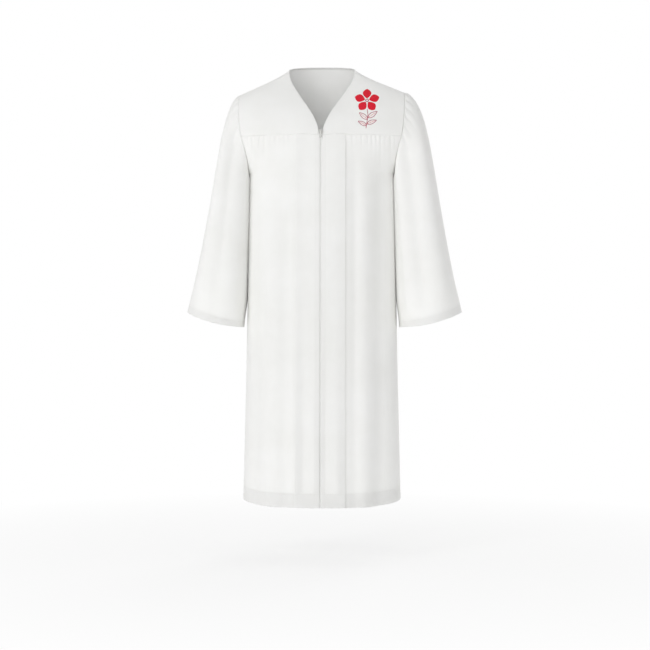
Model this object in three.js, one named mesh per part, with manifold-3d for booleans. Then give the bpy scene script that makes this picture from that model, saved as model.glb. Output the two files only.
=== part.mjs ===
// A choir robe as it hangs on its wearer: a full-length white gown with a V neck and a zip down the front.
// The cut pieces are a front yoke and a front panel on each side, a back yoke, a back panel and two bell
// sleeves. Each one is a thin closed wall that follows the hanging cloth. The panels are gathered into the
// yokes, a pressed pleat runs down each side of the zip, and the sleeve heads are gathered into the armholes.
//
// Millimetres. X runs to the wearer's left, Y to the back and Z up. The origin is in the middle of the neck
// hole, level with the ends of the shoulder seams.
import * as THREE from "three";
import { mergeVertices } from "three/addons/utils/BufferGeometryUtils.js";
import Module from "manifold-3d";

const wasm = await Module();
wasm.setup();

// Driving sizes
const CLOTH = 1.2; // thickness of every cloth wall
const SEAM = 0.3; // gap between two pieces at a seam
const YOKE_SEAM_Z = -195; // front yoke seam, level with the foot of the V neck
const BACK_SEAM_Z = -165; // back yoke seam
const UNDERARM_Z = -300;
const HEM_Z = -1236; // hem at centre front and centre back
const HEM_SIDE_RISE = 10; // how much higher the hem is at the side seams
const FLATNESS = 0.85; // under 1 makes the chest and back flatter than an ellipse

// Sections of the gown from the yoke seam down, half widths and depths measured from the origin's axis.
const SECTIONS = [
  { z: 0, halfWidth: 208, frontDepth: 84, backDepth: 98 },
  { z: -120, halfWidth: 208, frontDepth: 104, backDepth: 117 },
  { z: -195, halfWidth: 208, frontDepth: 119, backDepth: 127 },
  { z: -250, halfWidth: 208, frontDepth: 128, backDepth: 131 },
  { z: -300, halfWidth: 208, frontDepth: 133, backDepth: 132 },
  { z: -420, halfWidth: 210, frontDepth: 139, backDepth: 136 },
  { z: -800, halfWidth: 216, frontDepth: 158, backDepth: 158 },
  { z: -1236, halfWidth: 226, frontDepth: 178, backDepth: 186 },
];

// The armhole: how far out its edge lies at each height, and its depth to the front and back.
const ARMHOLE_X = [
  { z: -300, x: 208 },
  { z: -260, x: 210.5 },
  { z: -225, x: 218 },
  { z: -195, x: 227 },
  { z: -165, x: 232 },
];
const ARMHOLE_DEPTH = 78;
const SHOULDER_TIPS = { left: new THREE.Vector3(237, 0, -62), right: new THREE.Vector3(237, 0, -68) };
const NECK_POINT = new THREE.Vector3(94, 0, -3);
const NAPE = { depth: 78, z: 25, leanY: -58, leanZ: 104 }; // the back neck edge at centre back
const NECK_FOOT_X = 5.5; // half width of the notch that holds the slider

// The pressed pleat beside the zip
const LIP_X = 1.5; // the edge of the cloth beside the zip
const PLEAT_X = 70; // the pleat's outer fold
const PLEAT_UNDER = 22; // how far the cloth runs back under the fold
const PLEAT_LAYER = 2.1; // from the middle of one layer to the next
const PLEAT_EASE = 34; // the distance over which the layers settle back to the plain cloth

// Broad folds of the skirt. x is where a fold lies, width its spread, and depth how far it stands out (or in).
const FRONT_FOLDS = [
  { side: -1, x: 97, width: 17, depth: -4, from: -260, to: -520 },
  { side: -1, x: 140, width: 24, depth: 5, from: -240, to: -560 },
  { side: -1, x: 184, width: 15, depth: -4, from: -300, to: -600 },
  { side: 1, x: 97, width: 15, depth: -5, from: -205, to: -360 },
  { side: 1, x: 122, width: 20, depth: 5, from: -220, to: -460 },
  { side: 1, x: 171, width: 21, depth: -9, from: -205, to: -400 },
];
const BACK_FOLDS = [
  { side: 0, x: -172, width: 20, depth: -7, from: -260, to: -700 },
  { side: 0, x: -118, width: 24, depth: 9, from: -230, to: -640 },
  { side: 0, x: -62, width: 22, depth: -8, from: -240, to: -600 },
  { side: 0, x: -6, width: 26, depth: 8, from: -220, to: -560 },
  { side: 0, x: 56, width: 22, depth: -8, from: -250, to: -660 },
  { side: 0, x: 114, width: 24, depth: 9, from: -230, to: -600 },
  { side: 0, x: 170, width: 20, depth: -7, from: -270, to: -700 },
];

// Gathers under the yoke seams: where each small tuck lies, how deep it is and how far down it runs.
const FRONT_GATHERS = [
  { side: 1, x: 90, depth: 3.4, run: 22 },
  { side: 1, x: 103, depth: 2.0, run: 17 },
  { side: 1, x: 116, depth: 3.6, run: 28 },
  { side: 1, x: 133, depth: 3.6, run: 25 },
  { side: 1, x: 145, depth: 2.2, run: 32 },
  { side: 1, x: 157, depth: 4.0, run: 36 },
  { side: 1, x: 169.5, depth: 4.8, run: 46 },
  { side: 1, x: 182, depth: 3.0, run: 30 },
  { side: 1, x: 197.5, depth: 4.2, run: 40 },
  { side: 1, x: 209, depth: 2.4, run: 28 },
  { side: -1, x: 88, depth: 1.6, run: 20 },
  { side: -1, x: 101, depth: 2.0, run: 28 },
  { side: -1, x: 114, depth: 1.6, run: 22 },
  { side: -1, x: 127, depth: 2.2, run: 34 },
  { side: -1, x: 141, depth: 1.8, run: 26 },
  { side: -1, x: 159, depth: 2.8, run: 46 },
  { side: -1, x: 173.5, depth: 2.6, run: 44 },
  { side: -1, x: 183, depth: 1.6, run: 30 },
  { side: -1, x: 194, depth: 3.0, run: 52 },
  { side: -1, x: 207, depth: 2.2, run: 36 },
];
const BACK_GATHERS = [
  { side: 0, x: -124, depth: 2.2, run: 36 },
  { side: 0, x: -108, depth: 2.6, run: 50 },
  { side: 0, x: -93, depth: 2.0, run: 30 },
  { side: 0, x: -76, depth: 2.6, run: 46 },
  { side: 0, x: -60, depth: 2.2, run: 34 },
  { side: 0, x: -43, depth: 2.8, run: 52 },
  { side: 0, x: -28, depth: 2.0, run: 30 },
  { side: 0, x: -11, depth: 2.4, run: 42 },
  { side: 0, x: 5, depth: 2.0, run: 32 },
  { side: 0, x: 21, depth: 2.6, run: 48 },
  { side: 0, x: 38, depth: 2.0, run: 30 },
  { side: 0, x: 53, depth: 2.6, run: 44 },
  { side: 0, x: 70, depth: 2.2, run: 36 },
  { side: 0, x: 85, depth: 2.8, run: 54 },
  { side: 0, x: 102, depth: 2.0, run: 32 },
  { side: 0, x: 118, depth: 2.4, run: 40 },
];
const GATHER = { width: 3.6, settle: 7 };

// Sleeves. A ring is an ellipse round the arm: x, y and z are its middle, outX and outZ lead from there to its
// outer edge, and its front and back hang lower by the sag. top is the way the cloth sets out from the
// shoulder tip, and its reach how far it runs on before it turns down.
const SLEEVES = {
  left: {
    bicep: { x: 261, y: -6, z: -353, outX: 49, outZ: 68, halfDepth: 96, sag: 0 },
    cuff: { x: 311.5, y: -12, z: -713.5, outX: 89.5, outZ: 21.5, halfDepth: 112, sag: 11 },
    top: { x: 0.93, z: -0.38, reach: 86 },
  },
  right: {
    bicep: { x: 251, y: -6, z: -353, outX: 39, outZ: 68, halfDepth: 96, sag: 0 },
    cuff: { x: 305, y: -12, z: -713, outX: 81.5, outZ: 21.5, halfDepth: 112, sag: 9 },
    top: { x: 0.9, z: -0.44, reach: 60 },
  },
};
const SLEEVE_UNDER = { x: 0.02, z: -1, reach: 100 };
const SLEEVE_STAND_OFF = { underarm: 1.55, shoulder: 0.85 }; // from the armhole's edge to the sleeve's middle
// Broad folds of a sleeve: turn is degrees round from the outer edge, negative to the front.
const SLEEVE_FOLDS = [
  { turn: -128, width: 20, depth: 5, from: 0.2, to: 0.75 },
  { turn: -88, width: 19, depth: -8, from: 0.05, to: 0.45 },
  { turn: -48, width: 18, depth: 7, from: 0.15, to: 0.6 },
  { turn: 6, width: 20, depth: -3, from: 0.3, to: 0.8 },
  { turn: 52, width: 19, depth: 7, from: 0.2, to: 0.65 },
  { turn: 92, width: 18, depth: -8, from: 0.1, to: 0.5 },
  { turn: 130, width: 18, depth: 5, from: 0.25, to: 0.8 },
];
const SLEEVE_GATHERS = [-92, -76, -60, -44, -28, -12, 4, 20, 36, 52, 68, 84];
const SLEEVE_GATHER = { depth: 2.6, width: 4.6, run: 0.12 };

// The zip
const TAPE = { width: 12, thickness: 0.8, gap: 0.5, behind: 1.45, topZ: -185, footZ: -1222 };
const SLIDER = { width: 8.4, height: 13, thickness: 4.2, topZ: -181, post: 1, pinRadius: 0.7 };
const PULL = { eyeRadius: 1.75, hole: 1.05, width: 3.6, flare: 6.4, length: 20, thickness: 1.3 };

const COLOURS = { cloth: 0xf2f2ef, tape: 0xededea, metal: 0xd9d9d6 };

const clamp = (v, low, high) => Math.min(high, Math.max(low, v));
const mix = (a, b, t) => a + (b - a) * t;
const ease = (t) => t * t * (3 - 2 * t);
const rise = (v, from, to) => ease(clamp((v - from) / (to - from), 0, 1));
const bell = (d) => Math.exp(-d * d);
const wrapped = (degrees) => ((((degrees + 180) % 360) + 360) % 360) - 180;

// A smooth curve through a table's rows: cubic pieces whose slopes come from the rows on each side.
function along(table, column, z) {
  const rows = [...table].sort((a, b) => a.z - b.z);
  const last = rows.length - 1;
  let i = rows.findIndex((row) => row.z > z) - 1;
  if (i === -2) i = last - 1;
  i = clamp(i, 0, last - 1);
  const slope = (k) => {
    const a = rows[clamp(k - 1, 0, last)];
    const b = rows[clamp(k + 1, 0, last)];
    return (b[column] - a[column]) / (b.z - a.z);
  };
  const gap = rows[i + 1].z - rows[i].z;
  const t = clamp((z - rows[i].z) / gap, 0, 1);
  return (
    rows[i][column] * (1 - ease(t)) +
    rows[i + 1][column] * ease(t) +
    gap * t * (1 - t) * (slope(i) * (1 - t) - slope(i + 1) * t)
  );
}

// The armhole below the yoke seams: a half ellipse in Y and Z, with the table's X.
function armholeAt(z) {
  const drop = clamp((YOKE_SEAM_Z - z) / (YOKE_SEAM_Z - UNDERARM_Z), 0, 1);
  return { x: along(ARMHOLE_X, "x", z), depth: ARMHOLE_DEPTH * Math.sqrt(1 - drop * drop) };
}

// One horizontal section of the gown on one side of the body, front or back: an arc from centre front (or
// back) that ends at the armhole, or at the side seam below the underarm. turn is 0 at the centre.
function sectionAt(z, back) {
  const depth = along(SECTIONS, back ? "backDepth" : "frontDepth", z);
  if (z <= UNDERARM_Z) return { depth, halfWidth: along(SECTIONS, "halfWidth", z), end: Math.PI / 2 };
  const hole = armholeAt(z);
  const end = Math.acos(Math.pow(hole.depth / depth, 1 / FLATNESS));
  return { depth, halfWidth: hole.x / Math.sin(end), end };
}

// A point of the plain gown. side is 1 on the wearer's left and -1 on the right; back is true behind.
function plainPoint(side, back, turn, z) {
  const { depth, halfWidth } = sectionAt(z, back);
  const y = depth * Math.pow(Math.max(Math.cos(turn), 0), FLATNESS);
  return new THREE.Vector3(side * halfWidth * Math.sin(turn), back ? y : -y, z);
}

// The outward normal of a surface given as a function of two numbers, from its slopes.
function normalOf(surface, u, v, stepU, stepV, outward) {
  const du = surface(u + stepU, v).sub(surface(u - stepU, v));
  const dv = surface(u, v + stepV).sub(surface(u, v - stepV));
  const normal = du.cross(dv).normalize();
  return outward && normal.dot(outward) < 0 ? normal.negate() : normal;
}

function plainNormal(side, back, turn, z) {
  const step = 0.004;
  const safeTurn = clamp(turn, 0.01, Math.PI / 2 - 0.012);
  const safeZ = Math.abs(z - UNDERARM_Z) < 1.2 ? UNDERARM_Z - 1.2 : z;
  const outward = new THREE.Vector3(side * Math.sin(turn), back ? Math.cos(turn) : -Math.cos(turn), 0);
  const surface = (t, height) => plainPoint(side, back, t, height);
  return normalOf(surface, safeTurn, safeZ, step, 0.5, outward);
}

// How far the broad folds push the cloth out at this place.
function foldsAt(folds, side, x, z) {
  return folds
    .filter((fold) => fold.side === side)
    .reduce((sum, f) => sum + f.depth * bell((x - f.x) / f.width) * rise(-z, -f.from, -f.to), 0);
}

// How far the gathers pull the cloth in: nothing at the seam, most just below it, then dying away.
function gathersAt(gathers, side, x, below) {
  if (below <= 0) return 0;
  const start = 1 - Math.exp(-below / GATHER.settle);
  return gathers
    .filter((gather) => gather.side === side)
    .reduce((sum, g) => sum - g.depth * bell((x - g.x) / GATHER.width) * start * Math.exp(-below / g.run), 0);
}

// A front panel point. place says where it is on the cloth: its distance x out from the zip or its share of
// the way to the side, and which of the pleat's three layers it belongs to.
function frontPanelPoint(side, place, z) {
  const { halfWidth, end } = sectionAt(z, false);
  const startTurn = Math.asin(clamp((PLEAT_X - PLEAT_UNDER) / halfWidth, 0, 1));
  const turn =
    place.share === undefined ? Math.asin(place.x / halfWidth) : mix(startTurn, end, place.share);
  const point = plainPoint(side, false, turn, z);
  const x = Math.abs(point.x);
  const settled = PLEAT_LAYER * Math.tanh((x - PLEAT_X) / PLEAT_EASE);
  const fade = rise(halfWidth - x, 2, 26);
  const gathers = place.layer < 0 ? gathersAt(FRONT_GATHERS, side, x, YOKE_SEAM_Z - z) * rise(x, PLEAT_X, PLEAT_X + 8) : 0;
  const out = settled + place.layer * PLEAT_LAYER + fade * foldsAt(FRONT_FOLDS, side, x, z) + gathers;
  const atZip = x < 10 && settled + place.layer * PLEAT_LAYER > 0; // nothing stands out at the zip
  return point.addScaledVector(plainNormal(side, false, turn, z), atZip ? 0 : out);
}

// The places across a front panel, from the zip to the side: band, outer fold, under layer, inner fold, side.
function panelPlaces(sideCount) {
  const radius = PLEAT_LAYER / 2;
  const places = [LIP_X, 20, 40, PLEAT_X - 22, PLEAT_X - 8].map((x) => ({ x, layer: 1 }));
  const turnRound = [0, 45, 90, 135, 180].map((degrees) => THREE.MathUtils.degToRad(degrees));
  for (const a of turnRound)
    places.push({ x: PLEAT_X - radius + radius * Math.sin(a), layer: 0.5 + 0.5 * Math.cos(a) });
  places.push({ x: PLEAT_X - PLEAT_UNDER / 2, layer: 0 });
  for (const a of turnRound.slice(0, 4))
    places.push({ x: PLEAT_X - PLEAT_UNDER - radius * Math.sin(a), layer: -0.5 + 0.5 * Math.cos(a) });
  for (let i = 0; i <= sideCount; i++) places.push({ share: i / sideCount, layer: -1 });
  return places;
}

// Joins two rows of points, which may differ in number, with triangles. at holds each point's place in 0..1.
function joinRows(first, second, triangles) {
  let i = 0;
  let j = 0;
  while (i < first.at.length - 1 || j < second.at.length - 1) {
    const nextFirst = i < first.at.length - 1 ? first.at[i + 1] : Infinity;
    const nextSecond = j < second.at.length - 1 ? second.at[j + 1] : Infinity;
    if (nextFirst <= nextSecond) triangles.push([first.start + i, first.start + ++i, second.start + j]);
    else triangles.push([first.start + i, second.start + j + 1, second.start + j++]);
  }
}

// Makes a closed wall of the cloth's thickness round a sheet. Each row is a list of { point, normal, at }.
// The sheet is the middle of the wall, and its open edges are closed with a narrow strip. In a tube each row's
// last entry is its first one again.
function wallOf(rows, thickness = CLOTH, tube = false) {
  const middle = [];
  const normals = [];
  const triangles = [];
  const marks = rows.map((row) => {
    const start = middle.length;
    for (const { point, normal } of row) {
      middle.push(point);
      normals.push(normal);
    }
    return { start, at: row.map((entry) => entry.at) };
  });
  for (let r = 0; r + 1 < marks.length; r++) joinRows(marks[r], marks[r + 1], triangles);
  const firstOf = new Map(tube ? marks.map(({ start, at }) => [start + at.length - 1, start]) : []);
  const joined = triangles.map((corners) => corners.map((i) => firstOf.get(i) ?? i));
  return shellOf(middle, normals, joined, thickness);
}

// Closes a sheet of triangles into a wall: the sheet moved out, the sheet moved in, and strips on its edges.
function shellOf(middle, normals, triangles, thickness) {
  const outer = middle.map((p, i) => p.clone().addScaledVector(normals[i], thickness / 2));
  const inner = middle.map((p, i) => p.clone().addScaledVector(normals[i], -thickness / 2));
  const count = middle.length;
  const faces = [];
  const edges = new Map();
  for (const [a, b, c] of triangles) {
    faces.push([a, b, c], [count + a, count + c, count + b]);
    for (const [from, to] of [[a, b], [b, c], [c, a]]) {
      if (edges.has(to + "," + from)) edges.delete(to + "," + from);
      else edges.set(from + "," + to, [from, to]);
    }
  }
  for (const [from, to] of edges.values())
    faces.push([to, from, count + from], [to, count + from, count + to]);
  const points = [...outer, ...inner];
  const volume = faces.reduce(
    (sum, [a, b, c]) => sum + points[a].dot(points[b].clone().cross(points[c])),
    0,
  );
  const ordered = volume < 0 ? faces.map(([a, b, c]) => [a, c, b]) : faces;
  const geometry = new THREE.BufferGeometry();
  geometry.setAttribute("position", new THREE.Float32BufferAttribute(points.flatMap((p) => p.toArray()), 3));
  geometry.setIndex(ordered.flat());
  return geometry;
}

// Heights of the rows down a panel: close together at the gathers and the armhole's foot, then wider apart.
const ARMHOLE_ROWS = [-195, -203, -213, -228, -246, -264, -280, -292, -300];
const SKIRT_ROWS = [-318, -360, -430, -540, -680, -820, -960, -1090, -1190, HEM_Z];

// The row's height at a place on the cloth: the lowest rows follow the hem, which rises at the sides.
function hemmed(z, turn) {
  const share = rise(-z, 800, -HEM_Z);
  return z + HEM_SIDE_RISE * Math.pow(Math.sin(turn), 4) * share;
}

function frontPanel(side) {
  const rows = [...ARMHOLE_ROWS, ...SKIRT_ROWS].map((height) => {
    const z0 = height === YOKE_SEAM_Z ? height - SEAM / 2 : height;
    const places = panelPlaces(height >= -264 ? 46 : height >= UNDERARM_Z ? 24 : 16);
    return places.map((place, index) => {
      const { halfWidth, end } = sectionAt(z0, false);
      const turn = place.share === undefined ? Math.asin(place.x / halfWidth) : end * place.share;
      const z = hemmed(z0, turn);
      const surface = (u, v) => frontPanelPoint(side, placeBetween(places, u), v);
      const point = frontPanelPoint(side, place, z);
      const normal = rowNormal(surface, index, places.length - 1, z);
      if (place.share === 1) point.y = Math.min(point.y, -SEAM / 2);
      return { point, normal, at: placeMark(place, places) };
    });
  });
  return wallOf(rows);
}

// The cloth between two listed places, for slopes: whole numbers are the places themselves.
function placeBetween(places, u) {
  const i = clamp(Math.floor(u), 0, places.length - 2);
  const t = u - i;
  const a = places[i];
  const b = places[i + 1];
  const layer = mix(a.layer, b.layer, t);
  if (a.share !== undefined) return { share: mix(a.share, b.share, t), layer };
  if (b.share !== undefined) return { x: mix(a.x, PLEAT_X - PLEAT_UNDER, t), layer };
  return { x: mix(a.x, b.x, t), layer };
}

function rowNormal(surface, index, last, z) {
  const low = clamp(index - 0.5, 0, last);
  const high = clamp(index + 0.5, 0, last);
  const safeZ = Math.abs(z - UNDERARM_Z) < 2 ? UNDERARM_Z - 2 : z;
  const du = surface(high, safeZ).sub(surface(low, safeZ));
  const dv = surface(index, safeZ + 0.5).sub(surface(index, safeZ - 0.5));
  return du.cross(dv).normalize();
}

// Marks a place in 0..1 so that rows with different counts line up: the pleat's places are the same in each.
function placeMark(place, places) {
  const pleatPlaces = places.filter((p) => p.share === undefined).length;
  const index = places.indexOf(place);
  return place.share === undefined ? (0.5 * index) / pleatPlaces : 0.5 + 0.5 * place.share;
}

// The back panel in one piece. share runs from -1 at the wearer's right side seam to 1 at the left.
function backPanelPoint(share, z) {
  const side = share < 0 ? -1 : 1;
  const { halfWidth, end } = sectionAt(z, true);
  const turn = Math.abs(share) * end;
  const point = plainPoint(side, true, turn, z);
  const fade = rise(halfWidth - Math.abs(point.x), 2, 30);
  const out =
    fade * foldsAt(BACK_FOLDS, 0, point.x, z) +
    gathersAt(BACK_GATHERS, 0, point.x, BACK_SEAM_Z - z);
  return point.addScaledVector(plainNormal(side, true, turn, z), out);
}

function backPanel() {
  const heights = [BACK_SEAM_Z, -173, -184, ...ARMHOLE_ROWS, ...SKIRT_ROWS];
  const rows = heights.map((height) => {
    const z0 = height === BACK_SEAM_Z ? height - SEAM / 2 : height;
    const count = height >= -246 ? 72 : height >= UNDERARM_Z ? 48 : 36;
    return Array.from({ length: count + 1 }, (_, i) => {
      const share = mix(-1, 1, i / count);
      const z = hemmed(z0, Math.abs(share) * sectionAt(z0, true).end);
      const point = backPanelPoint(share, z);
      const safeZ = Math.abs(z - UNDERARM_Z) < 2 ? UNDERARM_Z - 2 : z;
      const inside = clamp(share, -0.985, 0.985);
      const normal = normalOf(backPanelPoint, inside, safeZ, 0.006, 0.5, new THREE.Vector3(point.x, point.y, 0));
      if (Math.abs(share) === 1) point.y = Math.max(point.y, SEAM / 2);
      return { point, normal, at: i / count };
    });
  });
  return wallOf(rows);
}

// A cubic curve from one point to another with the slope given at each end.
function bridge(from, slopeFrom, to, slopeTo, t) {
  const point = from.clone().multiplyScalar(1 - ease(t)).addScaledVector(to, ease(t));
  point.addScaledVector(slopeFrom, t * (1 - t) * (1 - t));
  return point.addScaledVector(slopeTo, -t * t * (1 - t));
}

// The slope with which a panel arrives at its yoke seam, so that the yoke carries on in the same line.
function slopeAtSeam(side, back, share, z) {
  const arc = (height) => {
    const { end } = sectionAt(height, back);
    return plainPoint(side, back, mix(seamStartTurn(back), end, share), height);
  };
  return arc(z).sub(arc(z - 4)).multiplyScalar(1 / 4);
}

function seamStartTurn(back) {
  if (back) return 0;
  return Math.asin(NECK_FOOT_X / sectionAt(YOKE_SEAM_Z, false).halfWidth);
}

// Slope lengths of the yokes' curves, at the neck and at the armhole.
const YOKE_SLOPES = {
  seamNeck: 194,
  seamTip: 140,
  crossNeckY: 96,
  crossNeckZ: 150,
  crossTipY: 128,
};

// The slope with which both yokes cross the shoulder seam, towards the back. share is 0 at the neck.
function shoulderSlope(share) {
  return new THREE.Vector3(
    0,
    mix(YOKE_SLOPES.crossNeckY, YOKE_SLOPES.crossTipY, share),
    YOKE_SLOPES.crossNeckZ * Math.pow(1 - share, 3),
  );
}

function shoulderPoint(side, share) {
  const point = NECK_POINT.clone().lerp(side > 0 ? SHOULDER_TIPS.left : SHOULDER_TIPS.right, share);
  point.x *= side;
  return point;
}

// A point of the front yoke. share runs from the neck edge to the armhole, t from the yoke seam up.
function frontYokePoint(side, share, t) {
  const { end } = sectionAt(YOKE_SEAM_Z, false);
  const from = plainPoint(side, false, mix(seamStartTurn(false), end, share), YOKE_SEAM_Z);
  const slope = slopeAtSeam(side, false, share, YOKE_SEAM_Z);
  slope.x *= ease(share);
  slope.multiplyScalar(mix(YOKE_SLOPES.seamNeck, YOKE_SLOPES.seamTip, share));
  return bridge(from, slope, shoulderPoint(side, share), shoulderSlope(share), t);
}

const YOKE_STEPS = [0, 0.14, 0.29, 0.44, 0.58, 0.71, 0.83, 0.93, 1];
const YOKE_COLUMNS = 12;

function frontYoke(side) {
  const surface = (share, t) => frontYokePoint(side, share, t);
  const outward = new THREE.Vector3(side * 0.2, -1, 0.8);
  const rows = YOKE_STEPS.map((t) =>
    Array.from({ length: YOKE_COLUMNS + 1 }, (_, i) => {
      const share = i / YOKE_COLUMNS;
      const point = surface(share, t);
      const normal = normalOf(surface, clamp(share, 0.01, 0.99), clamp(t, 0.01, 0.99), 0.01, 0.01, outward);
      if (t === 0) point.z += SEAM / 2;
      if (t === 1) point.y -= SEAM / 2;
      return { point, normal, at: share };
    }),
  );
  return wallOf(rows);
}

// The top edge of the back yoke: round the back of the neck, then out along the shoulder seam.
const NECK_SHARE = 0.42;
function backTop(side, share) {
  if (share >= NECK_SHARE) {
    const out = (share - NECK_SHARE) / (1 - NECK_SHARE);
    const slope = shoulderSlope(out).negate();
    return { point: shoulderPoint(side, out), slope };
  }
  const around = (Math.PI / 2) * (share / NECK_SHARE);
  const point = new THREE.Vector3(
    side * NECK_POINT.x * Math.sin(around),
    NAPE.depth * Math.pow(Math.cos(around), 0.9),
    mix(NECK_POINT.z, NAPE.z, Math.pow(Math.cos(around), 0.55)),
  );
  const slope = new THREE.Vector3(0, NAPE.leanY, NAPE.leanZ).lerp(shoulderSlope(0).negate(), Math.pow(share / NECK_SHARE, 3));
  return { point, slope };
}

// A point of the back yoke. share runs from -1 to 1 across the back, t from the yoke seam up.
function backYokePoint(share, t) {
  const side = share < 0 ? -1 : 1;
  const across = Math.abs(share);
  const { end } = sectionAt(BACK_SEAM_Z, true);
  const from = plainPoint(side, true, across * end, BACK_SEAM_Z);
  const slope = slopeAtSeam(side, true, across, BACK_SEAM_Z).multiplyScalar(mix(150, 100, across));
  slope.x *= across;
  const top = backTop(side, across);
  return bridge(from, slope, top.point, top.slope, t);
}

function backYoke() {
  const columns = [];
  for (let i = -YOKE_COLUMNS; i <= YOKE_COLUMNS; i++) columns.push(i / YOKE_COLUMNS);
  const rows = YOKE_STEPS.map((t) =>
    columns.map((share, i) => {
      const point = backYokePoint(share, t);
      const outward = new THREE.Vector3(share * 0.5, 1, 0.8);
      const inside = clamp(share, -0.99, 0.99);
      const normal = normalOf(backYokePoint, inside, clamp(t, 0.01, 0.99), 0.01, 0.01, outward);
      if (t === 0) point.z += SEAM / 2;
      if (t === 1 && Math.abs(share) >= NECK_SHARE) point.y += SEAM / 2;
      return { point, normal, at: i / (columns.length - 1) };
    }),
  );
  return wallOf(rows);
}

// The armhole's edge as a closed loop of stations, the same points that the yokes and panels end on.
function armholeLoop(side) {
  const edge = (back, z) => {
    const hole = armholeAt(z);
    return new THREE.Vector3(side * hole.x, back ? hole.depth : -hole.depth, z);
  };
  const frontBody = [...ARMHOLE_ROWS].reverse().map((z) => edge(false, z));
  const frontYokeEdge = YOKE_STEPS.slice(1).map((t) => frontYokePoint(side, 1, t));
  const backYokeEdge = [...YOKE_STEPS].reverse().slice(1).map((t) => backYokePoint(side, t));
  const backBody = [-173, -184, ...ARMHOLE_ROWS].map((z) => edge(true, z)).slice(0, -1);
  return [...frontBody, ...frontYokeEdge, ...backYokeEdge, ...backBody];
}

// Turns a loop of stations into a function of the way round, 0..1, by distance along its straight sides.
function roundLoop(stations) {
  const closed = [...stations, stations[0]];
  const lengths = [0];
  for (let i = 1; i < closed.length; i++) lengths.push(lengths[i - 1] + closed[i].distanceTo(closed[i - 1]));
  const total = lengths[lengths.length - 1];
  return (way) => {
    const d = (((way % 1) + 1) % 1) * total;
    const i = clamp(lengths.findIndex((length) => length > d) - 1, 0, closed.length - 2);
    return closed[i].clone().lerp(closed[i + 1], (d - lengths[i]) / (lengths[i + 1] - lengths[i]));
  };
}

// A ring of the sleeve: turn is 0 at the outer edge, -180 and 180 at the underarm, negative to the front.
function sleeveRing(ring, side, turn) {
  const c = Math.cos(turn);
  return new THREE.Vector3(
    side * (ring.x + ring.outX * c),
    ring.y + ring.halfDepth * Math.sin(turn),
    ring.z + ring.outZ * c - ring.sag * Math.sin(turn) ** 2,
  );
}

// A point of a sleeve. way runs round from the underarm by the front (0 to 1), t from the armhole to the cuff.
function sleevePoint(side, loop, way, t) {
  const form = side > 0 ? SLEEVES.left : SLEEVES.right;
  const from = loop(way);
  const turn = THREE.MathUtils.degToRad(-180 + 360 * way);
  const tip = side > 0 ? SHOULDER_TIPS.left : SHOULDER_TIPS.right;
  const top = clamp((from.z - UNDERARM_Z) / (tip.z - UNDERARM_Z), 0, 1);
  from.x += side * mix(SLEEVE_STAND_OFF.underarm, SLEEVE_STAND_OFF.shoulder, rise(top, 0.1, 0.9));
  const heading = new THREE.Vector3(
    side * mix(SLEEVE_UNDER.x, form.top.x, ease(top)),
    0,
    mix(SLEEVE_UNDER.z, form.top.z, ease(top)),
  );
  const first = from.clone().addScaledVector(heading, mix(SLEEVE_UNDER.reach, form.top.reach, top));
  const second = sleeveRing(form.bicep, side, turn);
  const last = sleeveRing(form.cuff, side, turn);
  const s = 1 - t;
  return from
    .multiplyScalar(s * s * s)
    .addScaledVector(first, 3 * s * s * t)
    .addScaledVector(second, 3 * s * t * t)
    .addScaledVector(last, t * t * t);
}

// The line down the middle of a sleeve, for telling its outside from its inside.
function sleeveMiddle(side, t) {
  const { cuff } = side > 0 ? SLEEVES.left : SLEEVES.right;
  return new THREE.Vector3(side * 226, 0, -230).lerp(new THREE.Vector3(side * cuff.x, cuff.y, cuff.z), t);
}

// The sleeve with its folds and the gathers at its head.
function foldedSleevePoint(side, loop, way, t) {
  const surface = (u, v) => sleevePoint(side, loop, u, v);
  const point = surface(way, t);
  const degrees = -180 + 360 * way;
  const folds = SLEEVE_FOLDS.reduce(
    (sum, f) => sum + f.depth * bell(wrapped(degrees - f.turn) / f.width) * rise(t, f.from, f.to),
    0,
  );
  const gathers = SLEEVE_GATHERS.reduce(
    (sum, turn) => sum - bell(wrapped(degrees - turn) / SLEEVE_GATHER.width),
    0,
  );
  const head = SLEEVE_GATHER.depth * rise(t, 0, 0.05) * Math.exp(-t / SLEEVE_GATHER.run);
  const outward = point.clone().sub(sleeveMiddle(side, t));
  const normal = normalOf(surface, way, clamp(t, 0.01, 0.99), 0.004, 0.01, outward);
  return point.addScaledVector(normal, folds + gathers * head);
}

const SLEEVE_STEPS = [0, 0.025, 0.055, 0.09, 0.14, 0.2, 0.28, 0.38, 0.5, 0.64, 0.8, 0.92, 1];

function sleeve(side) {
  const loop = roundLoop(armholeLoop(side));
  const surface = (way, t) => foldedSleevePoint(side, loop, way, t);
  const rows = SLEEVE_STEPS.map((t) => {
    const count = t < 0.2 ? 54 : 32;
    const row = Array.from({ length: count }, (_, i) => {
      const way = i / count;
      const point = surface(way, t);
      const outward = point.clone().sub(sleeveMiddle(side, t));
      const normal = normalOf(surface, way, clamp(t, 0.01, 0.99), 0.006, 0.01, outward);
      return { point, normal, at: way };
    });
    return [...row, { ...row[0], at: 1 }];
  });
  return wallOf(rows, CLOTH, true);
}

// The depth of the cloth at centre front: the section's below the yoke seam, the neck edge's above it.
function centreFrontY(z) {
  if (z <= YOKE_SEAM_Z) return -along(SECTIONS, "frontDepth", z);
  let t = 0;
  while (frontYokePoint(1, 0, t).z < z) t += 0.002;
  return frontYokePoint(1, 0, t).y;
}

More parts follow.
